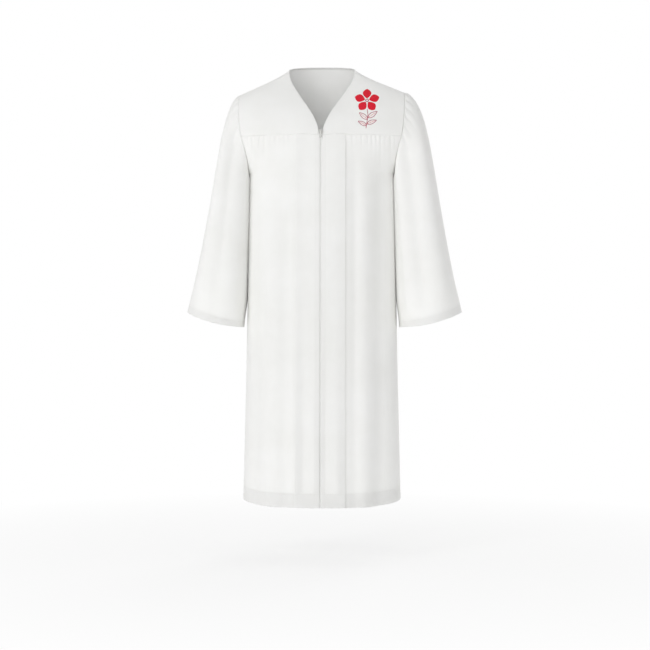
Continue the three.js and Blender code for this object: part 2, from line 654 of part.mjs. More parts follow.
// A zip tape behind one lip, following the centre front.
function zipTape(side) {
  const edge = TAPE.gap / 2;
  const heights = [TAPE.topZ, YOKE_SEAM_Z, ...ARMHOLE_ROWS.slice(2), ...SKIRT_ROWS.slice(1, -1), TAPE.footZ];
  const rows = heights.map((z) =>
    [edge, edge + TAPE.width / 2, edge + TAPE.width].map((x, i) => {
      const point = new THREE.Vector3(side * x, centreFrontY(z) + TAPE.behind + CLOTH / 2, z);
      return { point, normal: new THREE.Vector3(0, -1, 0), at: i / 2 };
    }),
  );
  return wallOf(rows, TAPE.thickness);
}

// manifold-3d joins and cuts the zip's small metal pieces.
function solidOf(geometry) {
  const plain = geometry.clone();
  plain.deleteAttribute("normal");
  plain.deleteAttribute("uv");
  const merged = mergeVertices(plain, 1e-4);
  return new wasm.Manifold(
    new wasm.Mesh({
      numProp: 3,
      vertProperties: merged.attributes.position.array,
      triVerts: new Uint32Array(merged.index.array),
    }),
  );
}

function geometryOf(solid) {
  const { vertProperties, triVerts } = solid.getMesh();
  const geometry = new THREE.BufferGeometry();
  geometry.setAttribute("position", new THREE.BufferAttribute(vertProperties, 3));
  geometry.setIndex(new THREE.BufferAttribute(triVerts, 1));
  return geometry;
}

const zipFace = centreFrontY(YOKE_SEAM_Z) + TAPE.behind + CLOTH / 2 - TAPE.thickness / 2;
const sliderFront = zipFace - SEAM - SLIDER.thickness;
const pinY = sliderFront - 2.2;
const pinZ = SLIDER.topZ - 3;

// A rod along X between two heights of X.
function rodAlongX(radius, length, sides) {
  return new THREE.CylinderGeometry(radius, radius, length, sides).rotateZ(Math.PI / 2);
}

// The slider: a tapered body on the tapes, with two posts and the pin that the pull hangs from.
function slider() {
  const half = SLIDER.width / 2;
  const foot = SLIDER.height;
  const outline = new THREE.Shape();
  outline.moveTo(-half, 0);
  outline.quadraticCurveTo(-half, -foot * 0.45, -half * 0.62, -foot);
  outline.lineTo(half * 0.62, -foot);
  outline.quadraticCurveTo(half, -foot * 0.45, half, 0);
  outline.quadraticCurveTo(0, 1.6, -half, 0);
  const upright = new THREE.ExtrudeGeometry(outline, {
    depth: SLIDER.thickness,
    bevelEnabled: false,
    curveSegments: 6,
  });
  upright.applyMatrix4(new THREE.Matrix4().makeBasis(
    new THREE.Vector3(1, 0, 0),
    new THREE.Vector3(0, 0, 1),
    new THREE.Vector3(0, -1, 0),
  ));
  upright.translate(0, zipFace - SEAM, SLIDER.topZ);
  let made = solidOf(upright);
  const postX = PULL.width / 2 + 0.4 + SLIDER.post / 2;
  for (const side of [-1, 1]) {
    const post = new THREE.BoxGeometry(SLIDER.post, 3.6, 3);
    post.translate(side * postX, sliderFront - 1.4, pinZ);
    made = made.add(solidOf(post));
  }
  const pin = rodAlongX(SLIDER.pinRadius, 2 * postX, 10).translate(0, pinY, pinZ);
  return geometryOf(made.add(solidOf(pin)));
}

// The pull tab: an eye round the pin and a plate that widens towards its round end.
function pullTab() {
  const profile = new THREE.Shape();
  const half = PULL.thickness / 2;
  const neck = Math.sqrt(PULL.eyeRadius ** 2 - half ** 2);
  const neckAngle = Math.asin(half / PULL.eyeRadius);
  profile.moveTo(half, -PULL.length);
  profile.lineTo(half, -neck);
  profile.absarc(0, 0, PULL.eyeRadius, -Math.PI / 2 + neckAngle, (3 * Math.PI) / 2 - neckAngle, false);
  profile.lineTo(-half, -PULL.length);
  profile.closePath();
  profile.holes.push(new THREE.Path().absarc(0, 0, PULL.hole, 0, 2 * Math.PI, true));
  const plate = new THREE.ExtrudeGeometry(profile, {
    depth: PULL.flare,
    bevelEnabled: false,
    curveSegments: 8,
  });
  plate.translate(0, 0, -PULL.flare / 2);
  plate.applyMatrix4(new THREE.Matrix4().makeBasis(
    new THREE.Vector3(0, 1, 0),
    new THREE.Vector3(0, 0, 1),
    new THREE.Vector3(1, 0, 0),
  ));
  const face = new THREE.Shape();
  const end = PULL.flare / 2;
  face.moveTo(-PULL.width / 2, PULL.eyeRadius + 1);
  face.lineTo(-PULL.width / 2, -3.4);
  face.lineTo(-end, -PULL.length + end);
  face.absarc(0, -PULL.length + end, end, Math.PI, 2 * Math.PI, false);
  face.lineTo(PULL.width / 2, -3.4);
  face.lineTo(PULL.width / 2, PULL.eyeRadius + 1);
  face.closePath();
  const outline = new THREE.ExtrudeGeometry(face, { depth: 8, bevelEnabled: false, curveSegments: 8 });
  outline.translate(0, 0, -4);
  outline.applyMatrix4(new THREE.Matrix4().makeBasis(
    new THREE.Vector3(1, 0, 0),
    new THREE.Vector3(0, 0, 1),
    new THREE.Vector3(0, -1, 0),
  ));
  return geometryOf(solidOf(plate).intersect(solidOf(outline)));
}

function material(color, roughness, metalness) {
  return new THREE.MeshStandardMaterial({ color, roughness, metalness });
}

const cloth = material(COLOURS.cloth, 0.9, 0);
const tapeCloth = material(COLOURS.tape, 0.85, 0);
const metal = material(COLOURS.metal, 0.35, 0.8);

const robe = new THREE.Group();
function place(name, geometry, finish) {
  const mesh = new THREE.Mesh(geometry, finish);
  mesh.name = name;
  robe.add(mesh);
  return mesh;
}

for (const [hand, side] of [["left", 1], ["right", -1]]) {
  place("front_panel_" + hand, frontPanel(side), cloth);
  place("front_yoke_" + hand, frontYoke(side), cloth);
  place("sleeve_" + hand, sleeve(side), cloth);
  place("zip_tape_" + hand, zipTape(side), tapeCloth);
}
place("back_panel", backPanel(), cloth);
place("back_yoke", backYoke(), cloth);
place("zip_slider", slider(), metal);
place("zip_pull", pullTab(), metal).position.set(0, pinY, pinZ);

export default robe;
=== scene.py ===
# A white choir robe in the hollow form it has when worn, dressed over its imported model.
# Shapes are worked out in millimetres with numpy and put into meshes in metres. X runs to the wearer's
# left, Y to the back and Z up, from the middle of the neck hole.
import math

import bpy
import numpy as np
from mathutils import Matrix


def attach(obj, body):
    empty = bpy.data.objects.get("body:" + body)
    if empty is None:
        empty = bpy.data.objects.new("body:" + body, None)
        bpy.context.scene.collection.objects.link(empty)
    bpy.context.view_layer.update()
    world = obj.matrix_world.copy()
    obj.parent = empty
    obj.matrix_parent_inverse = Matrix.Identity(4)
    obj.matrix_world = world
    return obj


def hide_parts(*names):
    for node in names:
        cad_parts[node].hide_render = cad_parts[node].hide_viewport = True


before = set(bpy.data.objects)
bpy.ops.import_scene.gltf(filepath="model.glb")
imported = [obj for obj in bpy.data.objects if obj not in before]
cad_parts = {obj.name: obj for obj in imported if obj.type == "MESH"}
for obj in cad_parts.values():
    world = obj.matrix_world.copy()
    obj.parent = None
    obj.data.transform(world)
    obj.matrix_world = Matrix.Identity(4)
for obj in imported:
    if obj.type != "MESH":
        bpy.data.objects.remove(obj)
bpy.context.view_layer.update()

# The photograph's camera: level with the middle of the robe and a little to the wearer's left of straight on
CAMERA_DISTANCE = 4500
CAMERA_TURN = 1.8
CAMERA_AIM = (8.6, 0, -729)
VIEW_WIDTH = 1872

# Driving sizes of the gown. The form is the part's, but the cloth is thinner, the zip's lips are closer, and
# the gathers, the sleeves' folds and how far they stand off the armholes differ by a few millimetres
YOKE_SEAM_Z = -195
BACK_SEAM_Z = -165
UNDERARM_Z = -300
HEM_Z = -1236
HEM_SIDE_RISE = 10
HEM_RISE_FROM_Z = -800
FLATNESS = 0.85
CLOTH = 0.6

# Rows of height, half width, front depth and back depth
SECTIONS = np.array([
    (-1236, 226, 178, 186),
    (-800, 216, 158, 158),
    (-420, 210, 139, 136),
    (-300, 208, 133, 132),
    (-250, 208, 128, 131),
    (-195, 208, 119, 127),
    (-120, 208, 104, 117),
    (0, 208, 84, 98),
], dtype=float)
ARMHOLE_X = np.array([(-300, 208), (-260, 210.5), (-225, 218), (-195, 227), (-165, 232)], dtype=float)
ARMHOLE_DEPTH = 78
SHOULDER_TIPS = {1: np.array([237.0, 0, -62]), -1: np.array([237.0, 0, -68])}
NECK_POINT = np.array([94.0, 0, -3])
NAPE = {"depth": 78, "z": 25, "lean_y": -58, "lean_z": 104, "depth_power": 0.9, "rise_power": 0.55}
NECK_FOOT_X = 5.5

# The zip's lip, and the pressed pleat: its outer fold, how far the cloth runs back under it, the step between
# its layers and the width over which they part. At the yoke seam the step is a share of the whole, which it
# reaches between two depths below the seam
LIP_X = 0.6
PLEAT_X = 70
PLEAT_UNDER = 22
PLEAT_LAYER = 2.1
PLEAT_EASE = 34
PLEAT_AT_SEAM = 0.3
PLEAT_OPENS = (-2, 24)

# Broad folds of the skirt: x, width, depth, and the heights between which each comes in. The fades are the
# distances from the side seam or the armhole between which they come in
FRONT_FOLDS = {
    -1: [(97, 17, -4, -260, -520), (140, 24, 5, -240, -560), (184, 15, -4, -300, -600)],
    1: [(97, 15, -5, -205, -360), (122, 20, 5, -220, -460), (171, 21, -9, -205, -400)],
}
FRONT_FADE = (2, 26)
BACK_FADE = (2, 30)
BACK_FOLDS = [
    (-172, 20, -7, -260, -700),
    (-118, 24, 9, -230, -640),
    (-62, 22, -8, -240, -600),
    (-6, 26, 8, -220, -560),
    (56, 22, -8, -250, -660),
    (114, 24, 9, -230, -600),
    (170, 20, -7, -270, -700),
]

# Gathers under the yoke seams: x, how deep and how far down each runs. The front ones start beyond the pleat
FRONT_GATHERS = {
    1: [
        (90, 4.0, 13), (103, 2.6, 10), (116, 4.4, 15), (133, 4.2, 12), (145, 3.0, 18),
        (157, 4.8, 16), (169.5, 5.6, 26), (182, 3.8, 14), (197.5, 5.0, 24), (209, 3.0, 14),
    ],
    -1: [
        (88, 1.8, 14), (101, 2.2, 18), (114, 1.8, 12), (127, 2.6, 22), (141, 2.0, 16),
        (159, 3.6, 26), (173.5, 3.4, 22), (183, 2.0, 14), (194, 4.0, 30), (207, 2.6, 18),
    ],
}
BACK_GATHERS = [
    (-124, 3.4, 20), (-108, 4.0, 28), (-93, 3.0, 16), (-76, 4.0, 26), (-60, 3.2, 18), (-43, 4.2, 30),
    (-28, 3.0, 16), (-11, 3.8, 24), (5, 3.0, 17), (21, 4.2, 28), (38, 3.0, 16), (53, 4.0, 25),
    (70, 3.2, 19), (85, 4.2, 30), (102, 3.0, 17), (118, 3.8, 22),
]
GATHER_WIDTH = 3.4
GATHER_SETTLE = 4
GATHER_PAST_PLEAT = 8
SEAM_TUCK = 0.25
SEAM_ALLOWANCE = (3.5, 1.6, 0.6)

# Sleeves: a ring's middle (x, y, z), the lead to its outer edge (out_x, out_z), its half depth and how much
# lower its front and back hang (sag). Top is the way the cloth sets out from the shoulder tip, and its reach;
# SLEEVE_UNDER is the same at the underarm. The stand-off from the armhole is given there and at the tip
SLEEVES = {
    1: {
        "bicep": {"x": 261, "y": -6, "z": -353, "out_x": 49, "out_z": 68, "half_depth": 96, "sag": 0},
        "cuff": {
            "x": 311.5, "y": -12, "z": -713.5, "out_x": 89.5, "out_z": 21.5, "half_depth": 112, "sag": 11,
        },
        "top": (0.93, -0.38, 86),
    },
    -1: {
        "bicep": {"x": 251, "y": -6, "z": -353, "out_x": 39, "out_z": 68, "half_depth": 96, "sag": 0},
        "cuff": {
            "x": 305, "y": -12, "z": -713, "out_x": 81.5, "out_z": 21.5, "half_depth": 112, "sag": 9,
        },
        "top": (0.9, -0.44, 60),
    },
}
SLEEVE_UNDER = (0.02, -1, 100)
SLEEVE_STAND_OFF = (0.7, 0.4)
SLEEVE_MIDDLE = (226, 0, -230)
# Broad folds of a sleeve: degrees round from the outer edge (the front is below 0), width, depth, and the
# shares of its length between which it comes in. The three in front differ between the two sleeves
SLEEVE_FOLDS = [
    (6, 20, -3, 0.3, 0.8),
    (52, 19, 7, 0.2, 0.65),
    (92, 18, -8, 0.1, 0.5),
    (130, 18, 5, 0.25, 0.8),
    (-166, 15, 5.2, 0.0, 0.08),
    (180, 18, 1.4, 0.15, 0.5),
    (166, 15, 5.2, 0.0, 0.08),
]
FRONT_SLEEVE_FOLDS = {
    1: [(-130, 14, 6.5, 0.0, 0.14), (-99, 15, -9, 0.0, 0.2), (-60, 18, 7, 0.05, 0.4)],
    -1: [(-128, 20, 5, 0.04, 0.5), (-88, 17, -8, 0.0, 0.22), (-48, 18, 8, 0.03, 0.4)],
}
# Gathers and the puff of a sleeve's head: runs, starts and the tuck's width are shares of the length
SLEEVE_GATHERS = [-92, -76, -60, -44, -28, -12, 4, 20, 36, 52, 68, 84]
SLEEVE_GATHER = {"depth": 4.2, "width": 4.2, "run": 0.08}
SLEEVE_PUFF = {1: 3.4, -1: 1.2}
PUFF = {"width": 62, "start": 0.035, "run": 0.14}
ARMHOLE_TUCK = {"depth": 0.5, "width": 0.004}

# Turned edges and their stitches. A row of stitches draws the cloth into a groove, whose width is given in
# millimetres at the hem and beside the zip, and as a share of the sleeve's length at the cuff
HEM_STITCH_Z = -1198
CUFF_STITCH = 0.984
ZIP_STITCH_X = 14
GROOVE = {"depth": 0.3, "hem": 1.6, "zip": 1.1, "cuff": 0.0018}
TURN_RADIUS = 0.36
STITCH = {"pitch": 3.4, "length": 2.5, "width": 0.5, "height": 0.34, "lift": 0.08}


# Small sums on arrays
def mix(a, b, t):
    return a + (b - a) * t


def ease(t):
    return t * t * (3 - 2 * t)


def rise(value, start, end):
    return ease(np.clip((value - start) / (end - start), 0, 1))


def bell(d):
    return np.exp(-d * d)


def wrapped(degrees):
    return (degrees + 180) % 360 - 180


def vec(x, y, z):
    return np.stack(np.broadcast_arrays(x, y, z), axis=-1).astype(float)


def unit(v):
    return v / np.maximum(np.linalg.norm(v, axis=-1, keepdims=True), 1e-12)


def along(heights, values, z):
    """A smooth curve through a table: between two rows a cubic whose slope at each row is that of the line
    joining the rows on each side of it."""
    last = len(heights) - 1
    before = np.maximum(np.arange(last + 1) - 1, 0)
    after = np.minimum(np.arange(last + 1) + 1, last)
    slopes = (values[after] - values[before]) / (heights[after] - heights[before])
    z = np.asarray(z, dtype=float)
    i = np.clip(np.searchsorted(heights, z, side="right") - 1, 0, last - 1)
    gap = heights[i + 1] - heights[i]
    t = np.clip((z - heights[i]) / gap, 0, 1)
    curve = values[i] * (1 - ease(t)) + values[i + 1] * ease(t)
    return curve + gap * t * (1 - t) * (slopes[i] * (1 - t) - slopes[i + 1] * t)


# The plain gown
def armhole_depth(z):
    """Half the armhole's extent in Y: a half ellipse from the yoke seam down to the underarm."""
    drop = np.clip((YOKE_SEAM_Z - z) / (YOKE_SEAM_Z - UNDERARM_Z), 0, 1)
    return ARMHOLE_DEPTH * np.sqrt(1 - drop * drop)


def section_at(z, back):
    """One horizontal section: its depth, its half width, and the turn at which it meets the armhole, or the
    side seam below it."""
    z = np.asarray(z, dtype=float)
    depth = along(SECTIONS[:, 0], SECTIONS[:, 3 if back else 2], z)
    side_width = along(SECTIONS[:, 0], SECTIONS[:, 1], z)
    hole_x = along(ARMHOLE_X[:, 0], ARMHOLE_X[:, 1], z)
    hole_end = np.arccos((armhole_depth(z) / depth) ** (1 / FLATNESS))
    below = z <= UNDERARM_Z
    end = np.where(below, np.pi / 2, hole_end)
    return depth, np.where(below, side_width, hole_x / np.sin(hole_end)), end


def plain_point(side, back, turn, z):
    """x = half width * sin(turn) and y = depth * cos(turn) to the power of the flatness."""
    depth, half_width, _ = section_at(z, back)
    y = depth * np.maximum(np.cos(turn), 0) ** FLATNESS
    return vec(side * half_width * np.sin(turn), y if back else -y, z)


def normal_of(surface, u, v, step_u, step_v, outward):
    """The unit normal of a surface of two numbers, from its slopes, on the side that outward points to."""
    du = surface(u + step_u, v) - surface(u - step_u, v)
    dv = surface(u, v + step_v) - surface(u, v - step_v)
    normal = unit(np.cross(du, dv))
    return normal * np.where(np.sum(normal * outward, axis=-1, keepdims=True) < 0, -1, 1)


def plain_normal(side, back, turn, z):
    safe_turn = np.clip(turn, 0.01, np.pi / 2 - 0.012)
    safe_z = np.where(np.abs(z - UNDERARM_Z) < 1.2, UNDERARM_Z - 1.2, z)
    outward = vec(side * np.sin(turn), np.cos(turn) * (1 if back else -1), 0)
    return normal_of(lambda a, b: plain_point(side, back, a, b), safe_turn, safe_z, 0.004, 0.5, outward)


def folds_at(folds, x, z):
    """Sum of bells across x, each easing in between its two heights."""
    return sum(
        depth * bell((x - at) / width) * rise(-z, -start, -end)
        for at, width, depth, start, end in folds
    )


def gathers_at(gathers, x, below):
    """Sum of narrow bells pulled in, nothing at the seam, deepest just below it, then dying away."""
    below = np.maximum(below, 0)
    start = 1 - np.exp(-below / GATHER_SETTLE)
    return sum(
        -depth * bell((x - at) / GATHER_WIDTH) * start * np.exp(-below / run)
        for at, depth, run in gathers
    )


def hemmed(z, turn):
    """The height of a row's point: the lower rows follow the hem, which rises towards the side seams."""
    return z + HEM_SIDE_RISE * np.sin(turn) ** 4 * rise(-z, -HEM_RISE_FROM_Z, -HEM_Z)


def tucked(z, seam):
    """How far the gathered cloth lies under the yoke where it runs up past the seam."""
    return SEAM_TUCK * rise(z, seam - 0.8, seam + 1.6)


def hem_groove(z):
    return bell((z - HEM_STITCH_Z) / GROOVE["hem"])


def pleat_columns():
    """The columns from the zip over the pleat's outer fold, back under it and round its inner fold: their x,
    and their layer, from 1 for the outermost to -1 for the cloth that goes on to the side."""
    radius = PLEAT_LAYER / 2
    turn_round = np.linspace(0, np.pi, 9)
    band = np.r_[LIP_X, 5, 9, 12, 14, 16, 19, np.linspace(24, PLEAT_X - 4, 10)]
    x = np.r_[
        band,
        PLEAT_X - radius + radius * np.sin(turn_round),
        np.linspace(PLEAT_X - 5, PLEAT_X - PLEAT_UNDER + 4, 4),
        PLEAT_X - PLEAT_UNDER - radius * np.sin(turn_round[:-1]),
    ]
    layer = np.r_[
        np.ones(len(band)),
        0.5 + 0.5 * np.cos(turn_round),
        np.zeros(4),
        -0.5 + 0.5 * np.cos(turn_round[:-1]),
    ]
    return x, layer


def front_panel(side, z):
    """A front panel on a grid: its columns run from the zip through the pleat and on to the side. The pleat's
    layers are offsets along the plain gown's normal."""
    pleat_x, pleat_layer = pleat_columns()
    share = np.linspace(0, 1, 96)
    on_side = np.r_[np.zeros(len(pleat_x), bool), np.ones(len(share), bool)]
    x = np.r_[pleat_x, np.zeros(len(share))][None, :]
    layer = np.r_[pleat_layer, -np.ones(len(share))][None, :]
    share = np.r_[np.zeros(len(pleat_x)), share][None, :]
    z0 = z[:, None]
    _, half_width, end = section_at(z0, False)
    start = np.arcsin((PLEAT_X - PLEAT_UNDER) / half_width)
    turn = np.where(on_side, mix(start, end, share), np.arcsin(np.clip(x / half_width, 0, 1)))
    height = hemmed(z0, np.where(on_side, end * share, turn))
    point = plain_point(side, False, turn, height)
    px = np.abs(point[..., 0])
    pressed = mix(PLEAT_AT_SEAM, 1, rise(YOKE_SEAM_Z - height, *PLEAT_OPENS))
    layers = pressed * PLEAT_LAYER * (np.tanh((px - PLEAT_X) / PLEAT_EASE) + layer)
    layers = np.where((px < 10) & (layers > 0), 0, layers)
    fade = rise(half_width - px, *FRONT_FADE)
    gathers = gathers_at(FRONT_GATHERS[side], px, YOKE_SEAM_Z - height)
    gathers = gathers * rise(px, PLEAT_X, PLEAT_X + GATHER_PAST_PLEAT)
    out = layers + fade * folds_at(FRONT_FOLDS[side], px, height) + gathers * (layer < 0)
    groove = hem_groove(z0) + bell((px - ZIP_STITCH_X) / GROOVE["zip"]) * (layer > 0)
    out = out - tucked(height, YOKE_SEAM_Z) - GROOVE["depth"] * groove
    return point + plain_normal(side, False, turn, height) * out[..., None]


def back_panel(z):
    """The back panel on a grid: its columns run from one side seam to the other."""
    share = np.linspace(-1, 1, 241)[None, :]
    z0 = z[:, None]
    side = np.where(share < 0, -1, 1)
    _, half_width, end = section_at(z0, True)
    turn = np.abs(share) * end
    height = hemmed(z0, turn)
    point = plain_point(side, True, turn, height)
    fade = rise(half_width - np.abs(point[..., 0]), *BACK_FADE)
    out = fade * folds_at(BACK_FOLDS, point[..., 0], height)
    out = out + gathers_at(BACK_GATHERS, point[..., 0], BACK_SEAM_Z - height)
    out = out - tucked(height, BACK_SEAM_Z) - GROOVE["depth"] * hem_groove(z0)
    return point + plain_normal(side, True, turn, height) * out[..., None]


# The yokes. A slope is how strongly the cloth keeps its way at the seam below it or at the shoulder seam
YOKE_SLOPES = {
    "seam_neck": 194, "seam_tip": 140, "back_neck": 150, "back_tip": 100,
    "cross_neck_y": 96, "cross_neck_z": 150, "cross_tip_y": 128,
}
NECK_SHARE = 0.42


def bridge(start, slope_start, end, slope_end, t):
    """A cubic from start to end with the slope given at each end."""
    return (
        start * (1 - ease(t)) + end * ease(t)
        + slope_start * (t * (1 - t) * (1 - t)) - slope_end * (t * t * (1 - t))
    )


def neck_foot_turn():
    """The turn at which the front yoke's seam starts, at the foot of the neck edge."""
    return math.asin(NECK_FOOT_X / float(section_at(YOKE_SEAM_Z, False)[1]))


def slope_at_seam(side, back, share, z):
    """The way up the plain gown at the seam, from a step of 4 mm."""
    start = 0 if back else neck_foot_turn()

    def arc(height):
        turn = mix(start, section_at(height, back)[2], share)
        return plain_point(side, back, turn, np.full_like(share, height))

    return (arc(z) - arc(z - 4)) / 4


def shoulder_slope(share):
    return vec(
        0,
        mix(YOKE_SLOPES["cross_neck_y"], YOKE_SLOPES["cross_tip_y"], share),
        YOKE_SLOPES["cross_neck_z"] * (1 - share) ** 3,
    )


def shoulder_point(side, share):
    across = np.broadcast_to(np.asarray(side, float), share.shape)[..., None]
    tip = np.where(across > 0, SHOULDER_TIPS[1], SHOULDER_TIPS[-1])
    point = NECK_POINT + (tip - NECK_POINT) * share[..., None]
    return point * np.concatenate([across, np.ones_like(across), np.ones_like(across)], axis=-1)


def front_yoke(side, share, t):
    """Curves from the yoke seam up to the shoulder seam. share runs from the neck edge to the armhole."""
    share, t = np.broadcast_arrays(np.asarray(share, float), np.asarray(t, float))
    end = section_at(YOKE_SEAM_Z, False)[2]
    start = plain_point(side, False, mix(neck_foot_turn(), end, share), YOKE_SEAM_Z + 0 * share)
    slope = slope_at_seam(side, False, share, YOKE_SEAM_Z)
    slope[..., 0] *= ease(share)
    slope = slope * mix(YOKE_SLOPES["seam_neck"], YOKE_SLOPES["seam_tip"], share)[..., None]
    return bridge(start, slope, shoulder_point(side, share), shoulder_slope(share), t[..., None])


def back_yoke(share, t):
    """Curves from the back yoke seam up to the back of the neck and the shoulder seams."""
    share, t = np.broadcast_arrays(np.asarray(share, float), np.asarray(t, float))
    side = np.where(share < 0, -1, 1)
    across = np.abs(share)
    end = section_at(BACK_SEAM_Z, True)[2]
    start = plain_point(side, True, across * end, BACK_SEAM_Z + 0 * across)
    slope = slope_at_seam(side, True, across, BACK_SEAM_Z)
    slope = slope * mix(YOKE_SLOPES["back_neck"], YOKE_SLOPES["back_tip"], across)[..., None]
    slope[..., 0] *= across
    out = np.clip((across - NECK_SHARE) / (1 - NECK_SHARE), 0, 1)
    around = np.pi / 2 * np.clip(across / NECK_SHARE, 0, 1)
    back = np.maximum(np.cos(around), 0)
    neck = vec(
        side * NECK_POINT[0] * np.sin(around),
        NAPE["depth"] * back ** NAPE["depth_power"],
        mix(NECK_POINT[2], NAPE["z"], back ** NAPE["rise_power"]),
    )
    on_neck = (across < NECK_SHARE)[..., None]
    top = np.where(on_neck, neck, shoulder_point(side, out))
    lean = vec(0, NAPE["lean_y"], NAPE["lean_z"])
    blend = (np.clip(across / NECK_SHARE, 0, 1) ** 3)[..., None]
    neck_slope = mix(lean, -shoulder_slope(np.zeros_like(across)), blend)
    top_slope = np.where(on_neck, neck_slope, -shoulder_slope(out))
    return bridge(start, slope, top, top_slope, t[..., None])


# The sleeves
YOKE_STEPS = np.linspace(0, 1, 25)
ARMHOLE_ROWS = np.r_[np.linspace(YOKE_SEAM_Z, -270, 12)[:-1], np.linspace(-270, UNDERARM_Z, 13)]
ARMHOLE_BACK_ROWS = np.r_[-173.0, -184.0, ARMHOLE_ROWS]


def armhole_edge(side, back, z):
    depth = armhole_depth(z)
    return vec(side * along(ARMHOLE_X[:, 0], ARMHOLE_X[:, 1], z), depth if back else -depth, z)


def armhole_loop(side):
    """The armhole's edge, from the underarm up the front, over the shoulder and down the back."""
    return np.concatenate([
        armhole_edge(side, False, ARMHOLE_ROWS[::-1]),
        front_yoke(side, np.ones(24), YOKE_STEPS[1:]),
        back_yoke(np.full(24, float(side)), YOKE_STEPS[::-1][1:]),
        armhole_edge(side, True, ARMHOLE_BACK_ROWS)[:-1],
    ])


def round_loop(stations, way):
    """The point a share of the way round a closed loop, by distance along its straight sides."""
    closed = np.concatenate([stations, stations[:1]])
    lengths = np.r_[0, np.cumsum(np.linalg.norm(np.diff(closed, axis=0), axis=1))]
    d = np.mod(way, 1) * lengths[-1]
    return np.stack([np.interp(d, lengths, closed[:, k]) for k in range(3)], axis=-1)


def sleeve_ring(ring, side, turn):
    """A ring of the sleeve, turned from its outer edge; its front and back sag."""
    c = np.cos(turn)
    return vec(
        side * (ring["x"] + ring["out_x"] * c),
        ring["y"] + ring["half_depth"] * np.sin(turn),
        ring["z"] + ring["out_z"] * c - ring["sag"] * np.sin(turn) ** 2,
    )


def sleeve_plain(side, loop, way, t):
    """Cubic curves from the armhole's edge to the cuff's ring, pulled by the bicep's ring on the way."""
    way, t = np.broadcast_arrays(way, t)
    start = round_loop(loop, way)
    turn = np.radians(-180 + 360 * way)
    top = np.clip((start[..., 2] - UNDERARM_Z) / (SHOULDER_TIPS[side][2] - UNDERARM_Z), 0, 1)
    start[..., 0] += side * mix(SLEEVE_STAND_OFF[0], SLEEVE_STAND_OFF[1], rise(top, 0.1, 0.9))
    lean = ease(top)
    top_x, top_z, reach = SLEEVES[side]["top"]
    heading = vec(side * mix(SLEEVE_UNDER[0], top_x, lean), 0, mix(SLEEVE_UNDER[1], top_z, lean))
    first = start + heading * mix(SLEEVE_UNDER[2], reach, top)[..., None]
    second = sleeve_ring(SLEEVES[side]["bicep"], side, turn)
    last = sleeve_ring(SLEEVES[side]["cuff"], side, turn)
    t = t[..., None]
    s = 1 - t
    return start * s**3 + first * (3 * s * s * t) + second * (3 * s * t * t) + last * t**3


def sleeve(side, way, t):
    """The sleeve's cloth: way runs once round from the underarm up the front, and t from armhole to cuff."""
    loop = armhole_loop(side)

    def surface(u, v):
        return sleeve_plain(side, loop, u, v)

    way, t = np.broadcast_arrays(way, t)
    point = surface(way, t)
    degrees = -180 + 360 * way
    folds = SLEEVE_FOLDS + FRONT_SLEEVE_FOLDS[side]
    out = sum(
        depth * bell(wrapped(degrees - at) / width) * rise(t, start, end)
        for at, width, depth, start, end in folds
    )
    gathers = sum(bell(wrapped(degrees - at) / SLEEVE_GATHER["width"]) for at in SLEEVE_GATHERS)
    head = SLEEVE_GATHER["depth"] * rise(t, 0, 0.03) * np.exp(-t / SLEEVE_GATHER["run"])
    puff = SLEEVE_PUFF[side] * bell(degrees / PUFF["width"])
    puff = puff * rise(t, 0, PUFF["start"]) * np.exp(-t / PUFF["run"])
    cuff = SLEEVES[side]["cuff"]
    head_middle = vec(side * SLEEVE_MIDDLE[0], SLEEVE_MIDDLE[1], SLEEVE_MIDDLE[2])
    middle = mix(head_middle, vec(side * cuff["x"], cuff["y"], cuff["z"]), t[..., None])
    normal = normal_of(surface, way, np.clip(t, 0.01, 0.99), 0.004, 0.01, point - middle)
    out = out * (1 - rise(t, 0.9, 1)) + puff - gathers * head
    out = out - ARMHOLE_TUCK["depth"] * bell(t / ARMHOLE_TUCK["width"])
    out = out - GROOVE["depth"] * bell((t - CUFF_STITCH) / GROOVE["cuff"])
    return point + normal * out[..., None]


# Meshes
def grid_normals(points, tube=False):
    """The unit normals at the points of a grid, all on the side of the sheet that mostly faces away from the
    gown's upright axis, or from a tube's middle. A tube's are smooth across its joining column."""
    padded = np.concatenate([points[:, -2:-1], points, points[:, 1:2]], axis=1) if tube else points
    across = np.gradient(padded, axis=1)
    across = across[:, 1:-1] if tube else across
    normals = unit(np.cross(across, np.gradient(points, axis=0)))
    middle = points.mean(axis=(0, 1)) * np.array([1 if tube else 0, 0, 1])
    away = np.sum(normals * (points - middle), axis=-1).mean()
    return normals if away > 0 else -normals


def turned_under(points, normals, rows, beyond=1):
    """A grid and its normals with the last rows turned under along the last one: a small round fold and a
    second layer. The normals keep pointing the way of the outer layer, so corners turned twice stack up."""
    edge, ahead, up = points[-1], unit(points[-1] - points[-2]), normals[-1]
    fold = [
        edge + ahead * (beyond * TURN_RADIUS * math.sin(a)) - up * (TURN_RADIUS * (1 - math.cos(a)))
        for a in np.radians([45, 90, 135, 180])
    ]
    under = (points - normals * (2 * TURN_RADIUS))[-1 - rows:-1][::-1]
    return (
        np.concatenate([points, np.stack(fold), under]),
        np.concatenate([normals, np.stack([up] * 4), normals[-1 - rows:-1][::-1]]),
    )


def exchanged(points):
    """The grid with its rows and columns exchanged."""
    return np.swapaxes(points, 0, 1)


def resampled(line, normals, pitch):
    """Points, directions and normals at an even pitch along a line of points."""
    lengths = np.r_[0, np.cumsum(np.linalg.norm(np.diff(line, axis=0), axis=1))]
    d = np.arange(pitch / 2, lengths[-1], pitch)

    def at(values, where):
        return np.stack([np.interp(where, lengths, values[:, k]) for k in range(3)], axis=-1)

    return at(line, d), unit(at(line, d + 0.8) - at(line, d - 0.8)), unit(at(normals, d))


